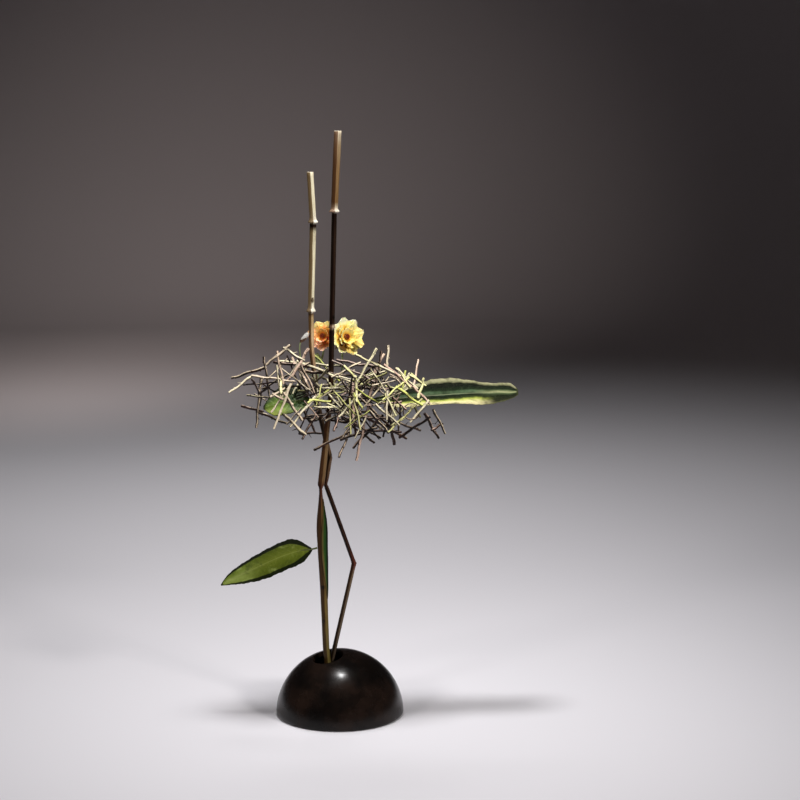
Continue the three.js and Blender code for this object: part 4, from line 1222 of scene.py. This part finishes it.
    # The finer twigs that the solids leave out. Each one touches a twig of its own colour.
    def layFine(self):
        rule = random.Random(fineTwigs["seed"])
        for patch in fineTwigs["patches"]:
            for _ in range(patch["count"]):
                before = len(self.twigs)
                colour = "pale" if rule.random() < 0.35 else "brown"
                for _ in range(80):
                    share = Vector([rule.uniform(-1, 1) for _ in range(3)])
                    way = Vector((rule.uniform(-1, 1), rule.uniform(-0.4, 0.4), rule.uniform(-0.9, 0.9)))
                    if share.length > 1 or way.length < 0.4:
                        continue
                    middle = Vector([m + h * s for m, h, s in zip(patch["middle"], patch["half"], share)])
                    half = way.normalized() * rule.uniform(*fineTwigs["halfLength"])
                    radius = rule.uniform(*fineTwigs["radius"])
                    self.settle(rodLine(middle - half, middle + half, radius, colour), True)
                    if len(self.twigs) > before:
                        self.twigs[-1]["fine"] = True
                        break


# Twigs. A few kinds are modelled once, each with its joints, side buds, stubs and cut ends, and then copied.
# Their sides towards the light are painted light, and their undersides painted shade.
twigDetail = {
    "lengths": (22, 34, 48, 64, 90),
    "sturdy": {"sides": 10, "step": 1.9},
    "fine": {"sides": 7, "step": 3.4},
    "swell": 0.16,
    # The way that the painted light on the twigs comes from.
    "paintedSun": (0.35, -0.35, 0.87),
    # The dark bark, which the undersides keep as painted shade.
    "bark": (0.008, 0.0045, 0.0035),
    "barkRed": (0.04, 0.011, 0.007),
    # The colours of the painted light on the tops of the dark twigs, by tone.
    "paintedLitTops": [
        (0, (0.5, 0.33, 0.27)), (0.3, (0.78, 0.66, 0.46)), (0.5, (0.42, 0.33, 0.28)),
        (0.75, (0.66, 0.46, 0.36)),
        (1, (0.82, 0.75, 0.5)),
    ],
    "lenticel": (0.42, 0.33, 0.25),
    "peeled": [
        (0, (0.66, 0.46, 0.37)), (0.18, (0.86, 0.78, 0.58)), (0.45, (0.9, 0.84, 0.56)),
        (0.62, (0.8, 0.79, 0.34)),
        (0.8, (0.6, 0.66, 0.15)), (1, (0.84, 0.76, 0.5)),
    ],
    # Dark bark strips and dots on the peeled twigs, also used as painted shade on their undersides.
    "strip": (0.02, 0.01, 0.006),
    "curl": [
        (63, -42, 431), (70, -43, 429), (75, -43.5, 424), (75.5, -44, 417), (71, -44.5, 411.5),
        (63, -45, 409.5),
        (55, -45.5, 411.5), (51, -46, 416.5), (51, -46.5, 423), (56, -47, 428),
    ],
    "curlThickness": 1.25,
}


def growTwigKind(length, kindSeed, size):
    rule = random.Random(kindSeed)
    joints = [rule.uniform(4, 8)]
    while joints[-1] < length - 6:
        joints.append(joints[-1] + rule.uniform(7, 13))
    joints = [z for z in joints if z < length - 3]
    heights = [0.35]
    while heights[-1] < length - 2.4:
        heights.append(heights[-1] + size["step"] * rule.uniform(0.8, 1.2))
    heights = [z for z in heights if all(abs(z - joint) > 1.5 for joint in joints)]
    heights += [joint + offset for joint in joints for offset in (-1.1, -0.35, 0.35, 1.2)]
    heights = [0, *sorted(z for z in heights if 0.3 < z < length - 0.6), length - 0.4, length]

    def ring(z):
        swell = twigDetail["swell"] * sum(bell(z - joint, 0.75) for joint in joints)
        radius = (1 - 0.2 * z / length) * (1 + swell + 0.03 * math.sin(z * 1.3 + kindSeed))
        radius -= 0.13 if z in (0, length) else 0
        bend = 0.34 * min(z, length - z, 6) / 6
        x, y = bend * math.sin(z * 0.23 + kindSeed), bend * math.cos(z * 0.17 + kindSeed * 2)
        return (x, y, z), radius, radius

    twig = growThrough([ring(z) for z in heights], size["sides"], kind="FACE")
    # The far end is cut at a slant.
    slant = math.radians(rule.uniform(14, 26))
    bpy.ops.transform.rotate(value=slant, orient_axis="X", center_override=(0, 0, length * mm))
    for joint in joints:
        angle = rule.uniform(0, fullTurn)
        growSideShoot(twig, joint, angle, rule.uniform(2.6, 4.6) if rule.random() < 0.28 else 0.75)
    closeMesh()
    turnFacesOut(twig)
    smooth(twig, 48)
    twig["length"] = length
    return twig


# A bud, or a short broken shoot if it is long, from the side face that points nearest to the angle.
def growSideShoot(twig, z, angle, length):
    way = swung(angle, 1, 0, 0)
    mesh = bmesh.from_edit_mesh(twig.data)
    sides = [face for face in mesh.faces if len(face.verts) == 4]
    near = [face for face in sides if abs(face.calc_center_median().z / mm - z) < 0.5]
    best = max(near, key=lambda face: face.normal.normalized().dot(way))
    index, centre = best.index, best.calc_center_median()
    pick(twig, "faces", lambda face: face.index == index)
    slant = (way + Vector((0, 0, 0.9))).normalized()
    for share, width in ((0.45, 0.85), (0.35, 0.75), (0.2, 0.35 if length < 1 else 0.85)):
        move = slant * length * share * mm
        centre = centre + move
        extrudeBy(move)
        resizeBy((width, width, width), centre)


# One copy of a kind, stretched and turned to lie along a twig of the nest.
def layTwig(kinds, twig, rule):
    start, end = Vector(twig["from"]) * mm, Vector(twig["to"]) * mm
    length = (end - start).length / mm
    kind = min(kinds, key=lambda one: abs(one["length"] - length) + rule.uniform(0, 6))
    copy = copyOf(kind)
    size = Vector((twig["radius"], twig["radius"], length / kind["length"]))
    offset = Vector([rule.uniform(0, 3) for _ in range(3)])
    # The twigs on the left are rosier and browner, and the lowest brown ones get little painted light, as
    # painted shade under the nest.
    tone = rule.random() * (0.25 if start.x + end.x < -0.05 and rule.random() < 0.7 else 1)
    if twig["colour"] == "brown" and start.z + end.z < 0.745:
        tone *= 0.2
    noteOn(copy, "grain", lambda vert: vert.co * size + offset)
    turn = upwards.rotation_difference(end - start) @ Quaternion(upwards, rule.uniform(0, fullTurn))
    copy.matrix_world = Matrix.LocRotScale(start, turn, size)
    choose(copy)
    bpy.ops.object.transform_apply(location=True, rotation=True, scale=True)
    noteLitSide(copy, tone, (end - start).normalized(), bool(twig.get("fine")))
    return copy


# How far each point lies on the side of its twig that the painted light falls on, for painted light and
# shade, with the twig's own tone and whether it is fine.
def noteLitSide(twig, tone, line, fine):
    paintedSun = Vector(twigDetail["paintedSun"])
    paintedSun = (paintedSun - line * paintedSun.dot(line)).normalized()
    noteOn(twig, "tone", lambda vert: (tone, vert.normal.dot(paintedSun), fine))


def makeCurl(points, thick):
    curl = makeStem(points, lambda share: thick * (1 - 0.5 * share), 6, 3)
    noteOn(curl, "grain", lambda vert: vert.co)
    noteLitSide(curl, 0.1, Vector((0, 1, 0)), False)
    return curl


def makeTwigs(nest):
    kinds = {"sturdy": [], "fine": []}
    for place, length in enumerate(twigDetail["lengths"]):
        kinds["sturdy"].append(growTwigKind(length, place * 2 + 1, twigDetail["sturdy"]))
        kinds["sturdy"].append(growTwigKind(length * 1.15, place * 3 + 20, twigDetail["sturdy"]))
        kinds["fine"].append(growTwigKind(length * 0.9, place * 5 + 40, twigDetail["fine"]))
    for colour, slot, skin in (("brown", "twig_bark", barkFinish()), ("pale", "twig_peeled", peeledFinish())):
        rule = random.Random(colour)
        curl = [tuple(point) for point in nest.tendril] if colour == "pale" else []
        sticks = [twig for twig in nest.twigs if twig["colour"] == colour and tuple(twig["from"]) not in curl]
        copies = [layTwig(kinds["fine" if twig.get("fine") else "sturdy"], twig, rule) for twig in sticks]
        if curl:
            copies.append(makeCurl(curl, nestRule["tendrilThickness"]))
            copies.append(makeCurl(twigDetail["curl"], twigDetail["curlThickness"]))
        finishPiece(joinPieces(*copies), colour + "Twigs", slot, "twigs_" + colour, 0, skin)
    for kind in (*kinds["sturdy"], *kinds["fine"]):
        bpy.data.objects.remove(kind)


def barkFinish():
    finish = Finish("darkBark", twigDetail["bark"], 0.3, "grain")
    tone, paintedSun, fine = finish.parts(finish.note("tone"))
    scuff = finish.noise((520, 520, 120), 4, 0.6)
    red = finish.noise((300, 300, 45), 2, shift=(4, 2, 1))
    finish.tint(finish.fit(red, 0.45, 0.72, 0.8), twigDetail["barkRed"])
    # Painted light: the lit side of each twig takes the pale colour of its tone, and the rest keeps the dark
    # bark as painted shade.
    paintedLitSide = finish.plus(paintedSun, finish.around(scuff, 0.55))
    paintedLitSide = finish.plus(paintedLitSide, finish.math("MULTIPLY_ADD", tone, 0.7, -0.45))
    paintedLitSide = finish.math("SUBTRACT", paintedLitSide, finish.times(fine, 0.25))
    finish.tint(finish.fit(paintedLitSide, 0.38, 0.62, 0.92), finish.ramp(tone, twigDetail["paintedLitTops"]))
    spots = finish.fit(finish.cells((1100, 1100, 480)), 0.2, 0.1)
    finish.tint(finish.times(spots, 0.35), twigDetail["lenticel"])
    furrow = finish.noise((1500, 1500, 130))
    finish.shade(finish.fit(furrow, 0.5, 0.72, 0.6), (0.35, 0.28, 0.25))
    finish.bump(furrow, 0.5, 0.0004)
    finish.bump(spots, 0.4, 0.0003)
    return finish.done(finish.fit(scuff, 0.3, 0.8, 0.5, 0.75, "LINEAR"))


def peeledFinish():
    finish = Finish("peeledWood", None, 0.35, "grain")
    tone, paintedSun, _ = finish.parts(finish.note("tone"))
    finish.colour = finish.ramp(tone, twigDetail["peeled"])
    fibre = finish.noise((1700, 1700, 60))
    finish.shade(finish.fit(fibre, 0.35, 0.75, 0.55), (0.62, 0.52, 0.36))
    bark = finish.noise((430, 430, 55), 4, 0.65, (2, 5, 1))
    # Painted shade: the undersides are darkened with the strip colour.
    paintedUnderShade = finish.fit(finish.plus(paintedSun, finish.around(bark, -0.7)), 0.5, 0.24)
    strip = finish.fit(bark, 0.57, 0.65)
    dots = finish.fit(finish.cells((800, 800, 500)), 0.13, 0.06)
    for pattern, share in ((strip, 0.8), (paintedUnderShade, 0.96), (dots, 0.7)):
        finish.tint(finish.times(pattern, share), twigDetail["strip"])
    finish.bump(fibre, 0.4, 0.0003)
    finish.bump(strip, 0.5, 0.0003)
    return finish.done(finish.fit(strip, 0, 1, 0.75, 0.5, "LINEAR"))


# The blooms, placed as the solids are. Petals are dark at their base, partly their own colour and partly
# painted shade under the inner petals. They get painted light on the side of the bloom that its painted light
# comes from, given in degrees up from the right, and are deeper on the other side. A gap is a painted shadow
# between petals: its way round and its width in degrees, its share of the way out, and its colour.
stemRadius = 1.2
rightBloom = {
    "name": "rightBloom",
    "node": "right_bloom",
    "slot": "petal_cream",
    "place": (9.5, 17, 473),
    "facing": (0.52, -0.8, 0.26),
    "outer": {"count": 8, "length": 23.5, "halfWidth": 8, "cup": 4.6},
    "inner": {"count": 5, "length": 14.5, "halfWidth": 5.4, "cup": 7},
    "stem": [(4, 27, 452), (3, 14, 425), (-8.9, -4.7, 401)],
    "outerColours": [
        (0, (0.12, 0.028, 0.004)), (0.28, (0.42, 0.17, 0.016)), (0.42, (0.84, 0.56, 0.08)),
        (0.56, (0.97, 0.84, 0.28)), (0.85, (0.98, 0.92, 0.46)), (1, (0.97, 0.95, 0.62)),
    ],
    "innerColours": [
        (0, (0.3, 0.055, 0.006)), (0.14, (0.8, 0.3, 0.022)), (0.36, (0.96, 0.62, 0.1)),
        (0.65, (0.98, 0.82, 0.24)), (1, (0.98, 0.92, 0.44)),
    ],
    "paintedLight": ((0.99, 0.96, 0.66), 140),
    "deep": (0.92, 0.62, 0.1),
    "gaps": [(248, 21, 0.6, (0.085, 0.024, 0.004)), (304, 15, 0.68, (0.07, 0.05, 0.005))],
}
leftBloom = {
    "name": "leftBloom",
    "node": "left_bloom",
    "slot": "petal_orange",
    "place": (-20, 27, 473),
    "facing": (-0.28, -0.9, 0.3),
    "outer": {"count": 7, "length": 18.5, "halfWidth": 7.4, "cup": 3.8},
    "inner": {"count": 5, "length": 12, "halfWidth": 4.8, "cup": 5.6},
    "stem": [(-20, 36, 451), (-26, 18, 425), (-26.4, 3.6, 403)],
    "outerColours": [
        (0, (0.36, 0.03, 0.008)), (0.24, (0.78, 0.17, 0.03)), (0.44, (0.93, 0.44, 0.14)),
        (0.8, (0.95, 0.58, 0.26)), (1, (0.96, 0.68, 0.38)),
    ],
    "innerColours": [
        (0, (0.6, 0.04, 0.008)), (0.16, (0.86, 0.17, 0.018)), (0.42, (0.95, 0.42, 0.055)),
        (1, (0.96, 0.62, 0.2)),
    ],
    "paintedLight": ((0.98, 0.9, 0.36), 62),
    "deep": (0.95, 0.56, 0.46),
    "gaps": [(285, 9, 0.36, (0.8, 0.22, 0.1)), (340, 12, 0.5, (0.5, 0.045, 0.015))],
    "leaflet": [(-23.5, 25.6, 436), (-25, 26.2, 441), (-26.5, 28, 446.5), (-27.5, 31, 451.5)],
    "leafletWidth": 4.5,
}
stemSkin = {"young": (0.24, 0.3, 0.14), "old": (0.1, 0.1, 0.03), "blush": (0.23, 0.1, 0.045)}
petalCore = {"radius": 4.6, "flat": 0.38, "top": 1.5, "bottom": -2}
eyeShape = {
    "radius": 3.3,
    "height": 1.52,
    "florets": 64,
    "deep": (0.035, 0.006, 0.004),
    "red": (0.17, 0.02, 0.008),
    "tip": (0.3, 0.045, 0.012),
    "pollen": (0.8, 0.38, 0.05),
}


# A petal in its bloom's own frame, where +Z is the way that the bloom faces.
def petalPoint(layer, turn, lift, ruffle, along, across):
    notch = 0.1 * (1 - abs(across)) + 0.16 * across * across
    frill = 1 + along**5 * (0.022 * math.sin(across * 14 + turn * 3) - 0.1 * across**4)
    out = 2.2 + layer["length"] * along * (1 - notch * along**3) * frill
    rounding = 1 - 0.3 * max((along - 0.7) / 0.3, 0) ** 2
    aside = across * layer["halfWidth"] * math.sin(math.pi * (0.1 + 0.62 * along)) * rounding
    height = lift + layer["cup"] * along * along + ruffle * along * math.sin(3.4 * across + turn)
    height += 0.55 * along**3 * math.sin(8.5 * across + turn * 5) + 0.5 * along**6
    height += 0.1 * math.cos(26 * across) * math.sin(math.pi * along)
    height -= 0.5 * bell(across, 0.12) * math.sin(math.pi * min(along * 1.3, 1))
    return swung(turn, out, aside, height)


# How deep a point lies in the two shadowed gaps between the petals.
def gapShade(bloom, toWorld, place):
    way = toWorld.to_3x3() @ Vector((place.x, place.y, 0)) / mm
    share, angle = way.length / bloom["outer"]["length"], math.degrees(math.atan2(way.z, way.x))
    depths = []
    for middle, width, out, _ in bloom["gaps"]:
        off = (angle - middle + 180) % 360 - 180
        depths.append(bell(share - out, 0.24, 4) * bell(off, width, 4))
    return (*depths, 0)


def makePetals(bloom, toWorld):
    rule = random.Random(bloom["name"])
    paintedLight, degrees = bloom["paintedLight"]
    frill = {"count": 8, "length": bloom["inner"]["length"] * 0.62, "halfWidth": 3.4, "cup": 5.2}
    # The core's notes are those of a petal's base.
    core = startFrom(
        bpy.ops.mesh.primitive_uv_sphere_add, (1, 1, petalCore["flat"]), segments=24, ring_count=12,
        radius=petalCore["radius"] * mm,
    )
    for note, value in (("blade", (0.04, 0, 0)), ("tone", (0.5, 0, 0)), ("gaps", (0, 0, 0))):
        noteOn(core, note, lambda vert: value)
    pieces = [core]
    layers = [
        (bloom["outer"], -0.9, 0, (26, 18)), (bloom["inner"], 0.1, 0.35, (20, 14)),
        (frill, 0.5, 0.7, (12, 10)),
    ]
    for layer, lift, offset, cells in layers:
        for petal in range(layer["count"]):
            turn = fullTurn * (petal + offset) / layer["count"]
            if layer is frill:
                turn, ruffle = turn + rule.uniform(-0.1, 0.1), rule.uniform(0.4, 0.9)
            else:
                turn, ruffle = turn + draw(-0.1, 0.1), draw(0.5, 1.3)
            sheet = makeBlade(
                lambda along, across: petalPoint(layer, turn, lift, ruffle, along, across), cells, 0.5
            )
            # How far the petal faces the side of the bloom's painted light.
            way = toWorld.to_3x3() @ swung(turn, 1, 0, 0)
            facing = way.x * math.cos(math.radians(degrees)) + way.z * math.sin(math.radians(degrees))
            tone = (rule.random(), facing, layer is not bloom["outer"])
            noteOn(sheet, "tone", lambda vert: tone)
            noteOn(sheet, "gaps", lambda vert: gapShade(bloom, toWorld, vert.co))
            pieces.append(sheet)
    piece = joinPieces(*pieces)
    piece.data.transform(toWorld)
    name, node = bloom["name"] + "Petals", bloom["node"] + "_petals"
    finishPiece(piece, name, bloom["slot"], node, 60, petalFinish(bloom))


def petalFinish(bloom):
    soft = {"Subsurface Weight": 0.22, "Subsurface Radius": (0.002, 0.0012, 0.0005), "Sheen Weight": 0.05}
    finish = Finish(bloom["name"] + "Petal", None, 0.3, sockets=soft)
    along, across, _ = finish.parts(finish.note("blade"))
    tone, facing, inner = finish.parts(finish.note("tone"))
    cloud = finish.noise(300)
    reach = finish.plus(along, finish.plus(finish.around(cloud, 0.12), finish.around(tone, 0.07)))
    outer = finish.ramp(reach, bloom["outerColours"])
    finish.colour = finish.mix(inner, outer, finish.ramp(reach, bloom["innerColours"]))
    beyond = finish.fit(reach, 0.38, 0.72)
    # Painted light on the petals that face the side of the bloom's painted light.
    paintedLit = finish.times(beyond, finish.fit(facing, 0.15, 0.8, 0.92))
    finish.tint(finish.times(paintedLit, finish.fit(inner, 0, 1, 0.2, 1, "LINEAR")), bloom["paintedLight"][0])
    finish.tint(finish.times(beyond, finish.fit(facing, -0.15, -0.9, 0.6)), bloom["deep"])
    # Painted shadows in the gaps between the petals.
    for gapShadow, (_, _, _, dark) in zip(finish.parts(finish.note("gaps")), bloom["gaps"]):
        finish.tint(finish.fit(finish.math("MULTIPLY_ADD", cloud, 0.5, gapShadow), 0.4, 0.8, 0.92), dark)
    rays = finish.fit(finish.math("SINE", finish.times(across, 27)), 0.2, 1)
    rays = finish.times(rays, finish.fit(along, 0.85, 0.1))
    finish.tint(finish.times(rays, 0.55), bloom["innerColours"][1][1])
    finish.bump(rays, -0.3, 0.0002)
    finish.bump(finish.noise(1500, 2), 0.15, 0.0002)
    return finish.done(finish.fit(cloud, 0.3, 0.7, 0.65, 0.5, "LINEAR"))


# A floret of the eye: a tiny stalk with a wider head.
def growFloret():
    floret = startFrom(bpy.ops.mesh.primitive_cylinder_add, vertices=7, radius=0.3 * mm, depth=mm)
    openMesh(floret, "FACE")
    pick(floret, "faces", lambda face: face.normal.z > 0.9)
    for rise, share, z in ((0, 0.6, 0.5), (0.25, 1.9, 0.75), (0.3, 0.5, 1.05)):
        if rise:
            extrudeBy((0, 0, rise * mm))
        resizeBy((share, share, 1), (0, 0, z * mm))
    closeMesh()
    return floret


# The eye: a low cushion set all over with small florets in a spiral.
def makeEye(bloom, toWorld):
    floor = petalCore["top"] + nestRule["clearance"]
    radius, height = eyeShape["radius"], eyeShape["height"]
    cushion = startFrom(
        bpy.ops.mesh.primitive_uv_sphere_add, (1, 1, height / radius), segments=32, ring_count=16,
        radius=radius * mm, location=(0, 0, (floor + 0.3) * mm),
    )
    cutAway(cushion, (0, 0, floor * mm), upwards, clear_inner=True, use_fill=True)
    noteOn(cushion, "tone", lambda vert: (0, 0, 0))
    floret = growFloret()
    pieces = [cushion]
    for place in range(eyeShape["florets"]):
        share = math.sqrt((place + 0.5) / eyeShape["florets"])
        angle = place * goldenAngle
        out = share * 0.92
        up = floor - 0.05 + height * math.sqrt(max(1 - out**2, 0))
        lean = upwards.rotation_difference(swung(angle, share * 0.8, 0, 1))
        copy = copyOf(floret)
        noteOn(copy, "tone", lambda vert: (1 if vert.co.z > 0.6 * mm else 0.3, share, 0))
        copy.data.transform(Matrix.LocRotScale(swung(angle, out * radius, 0, up) * mm, lean, None))
        pieces.append(copy)
    bpy.data.objects.remove(floret)
    piece = joinPieces(*pieces)
    piece.data.transform(toWorld)
    finish = Finish(bloom["name"] + "EyeSkin", eyeShape["deep"], 0.3)
    tone, share, _ = finish.parts(finish.note("tone"))
    finish.tint(finish.noise(900, 2), eyeShape["red"])
    tips = finish.mix(finish.fit(share, 0.75, 1), eyeShape["tip"], eyeShape["pollen"])
    finish.tint(finish.fit(tone, 0.5, 0.95), tips)
    finish.bump(finish.noise(2500, 2), 0.3, 0.0002)
    finishPiece(piece, bloom["name"] + "Eye", "eye_red", bloom["node"] + "_eye", 45, finish.done(0.75))


# The green cup behind the petals with its sepals, and the stem down into the nest.
def makeCalyx(bloom, toWorld):
    top = petalCore["bottom"] - nestRule["clearance"]
    rows = [(-5, stemRadius + 0.3), (-4.2, 2.2), (-3, 3.3), (-1.8, 4), (-0.6, 4.25), (0, 4.1)]
    pieces = [growThrough([((0, 0, top + z), radius, radius) for z, radius in rows], 30, 1, 0.93)]
    length = bloom["outer"]["length"] * 0.86
    for sepal in range(5):
        turn = fullTurn * (sepal + 0.5) / 5

        def sepalPoint(along, across):
            aside = across * 2.6 * max(math.sin(math.pi * (0.2 + 0.78 * along)), 0.04)
            height = top - 1.2 + 1.6 * along * along + 0.25 * math.cos(across * 5) + 0.2 * across**2
            return swung(turn, 2 + length * along, aside, height)

        pieces.append(makeBlade(sepalPoint, (24, 10)))
    piece = joinPieces(*pieces)
    piece.data.transform(toWorld)
    if "leaflet" in bloom:
        spine = smoothWay(bloom["leaflet"], 8)

        def leafletPoint(along, across):
            aside = across * bloom["leafletWidth"] * max(math.sin(math.pi * (0.1 + 0.86 * along)), 0.12)
            middle = spine[round(along * (len(spine) - 1))]
            return middle + Vector((aside * 0.94, 0.3 * abs(aside), 0.3 * aside))

        piece = joinPieces(piece, makeBlade(leafletPoint, (24, 10)))
    back = [toWorld @ Vector((0, 0, (top - 5 + drop) * mm)) / mm for drop in (2, -3)]
    stem = makeStem(
        [*back, *bloom["stem"]],
        lambda share: stemRadius * (1.05 + 0.25 * bell(share, 0.12) - 0.12 * share), 10,
    )
    name, node = bloom["name"] + "Calyx", bloom["node"] + "_calyx"
    finishPiece(joinPieces(piece, stem), name, "stem_green", node, 50, stemFinish(bloom["name"] + "Green"))


def stemFinish(name):
    finish = Finish(name, stemSkin["young"], 0.4, sockets={"Sheen Weight": 0.2})
    streak = finish.noise((700, 700, 90))
    finish.tint(finish.fit(streak, 0.35, 0.7), stemSkin["old"])
    finish.tint(finish.fit(finish.noise(110), 0.52, 0.72, 0.6), stemSkin["blush"])
    finish.bump(streak, 0.35, 0.0003)
    return finish.done(finish.fit(streak, 0.3, 0.7, 0.62, 0.45, "LINEAR"))


def makeBloom(bloom):
    turn = upwards.rotation_difference(Vector(bloom["facing"]))
    toWorld = Matrix.LocRotScale(Vector(bloom["place"]) * mm, turn, None)
    makePetals(bloom, toWorld)
    makeEye(bloom, toWorld)
    makeCalyx(bloom, toWorld)


# The silver bud, covered with short silky hairs, with a dark scale under it that is partly painted shade.
bud = {
    "stalk": [(-46, -5.5, 468.5), (-46, -5, 450), (-41, -2, 433), (-32.9, -1, 427)],
    "tip": (-36.5, -6.5, 480),
    "halfLength": 7.4,
    "radius": 2.8,
    "stalkRadius": 0.9,
    "hairs": 420,
    "hairLength": 2.1,
    "hairRadius": 0.13,
    "silver": ((0.8, 0.79, 0.76), (0.46, 0.45, 0.42)),
    "scale": ((0.06, 0.028, 0.016), (0.2, 0.1, 0.05)),
}


def growFur(radius, half):
    hair = startFrom(bpy.ops.mesh.primitive_cone_add, vertices=3, radius1=bud["hairRadius"] * mm, depth=mm)
    rule = random.Random(8)
    hairs = []
    for place in range(bud["hairs"]):
        up = -0.93 + 1.88 * (place + 0.5) / bud["hairs"]
        angle, out = place * goldenAngle, math.sqrt(max(1 - up * up, 0))
        normal = swung(angle, out, 0, up * radius / half).normalized()
        lie = (normal * rule.uniform(0.28, 0.45) + upwards).normalized()
        length = bud["hairLength"] * rule.uniform(0.75, 1.15)
        middle = swung(angle, out * radius, 0, up * half) + lie * length * 0.42
        copy = copyOf(hair)
        copy.data.transform(Matrix.LocRotScale(middle * mm, upwards.rotation_difference(lie), (1, 1, length)))
        hairs.append(copy)
    bpy.data.objects.remove(hair)
    return joinPieces(*hairs)


def makeBud():
    root, tip = Vector(bud["stalk"][0]), Vector(bud["tip"])
    middle = (root + tip) / 2
    half, radius = bud["halfLength"], bud["radius"] - 0.35
    ball = bpy.ops.mesh.primitive_uv_sphere_add
    body = startFrom(ball, (radius, radius, half), segments=32, ring_count=24, radius=mm)
    fur = growFur(radius, half)
    # The scale: a dark shell on the side away from the light, from the root to half the bud's length, partly
    # painted shade.
    shell = (radius + 0.55, radius + 0.55, half + 0.3)
    scale = startFrom(ball, shell, segments=28, ring_count=20, radius=mm)
    cutAway(scale, (0.2 * mm, 0, 0), (0.86, 0.1, -0.5), clear_inner=True)
    modify(scale, "SOLIDIFY", thickness=0.3 * mm, offset=-1)
    silk = {"Sheen Weight": 0.5, "Sheen Roughness": 0.4}
    silver = fibreFinish("silverSilk", bud["silver"], 1400, 2, (0.35, 0.7), 0.3, 0.6, sockets=silk)
    for part in (body, fur):
        part.data.materials.append(silver)
    scale.data.materials.append(
        fibreFinish("budScale", bud["scale"], (1200, 1200, 200), 3, (0.4, 0.75), 0.3, 0.4)
    )
    piece = joinPieces(body, fur, scale)
    piece.data.transform(Matrix.LocRotScale(middle * mm, upwards.rotation_difference(tip - root), None))
    stalk = makeStem([middle, *bud["stalk"]], lambda share: bud["stalkRadius"] * (1.05 - 0.1 * share))
    stalk.data.materials.append(stemFinish("budStalkGreen"))
    finishPiece(joinPieces(piece, stalk), "silverBud", "bud_silver", "bud", 50)


makeCamera()
makeStudio()
makeFloor()
print("studio ready")
makeVase()
finishPinHolder()
print("vase ready")
for cane in (tallCane, shortCane):
    makeCane(cane)
print("canes ready")
for name, leaf in leaves.items():
    makeLeaf(leaf, name)
makeSheath()
print("leaves ready")
nest = Nest()
nest.lay()
nest.layFine()
print("nest laid with", len(nest.twigs), "twigs")
makeTwigs(nest)
print("twigs ready")
for bloom in (rightBloom, leftBloom):
    makeBloom(bloom)
makeBud()
print("blooms ready")
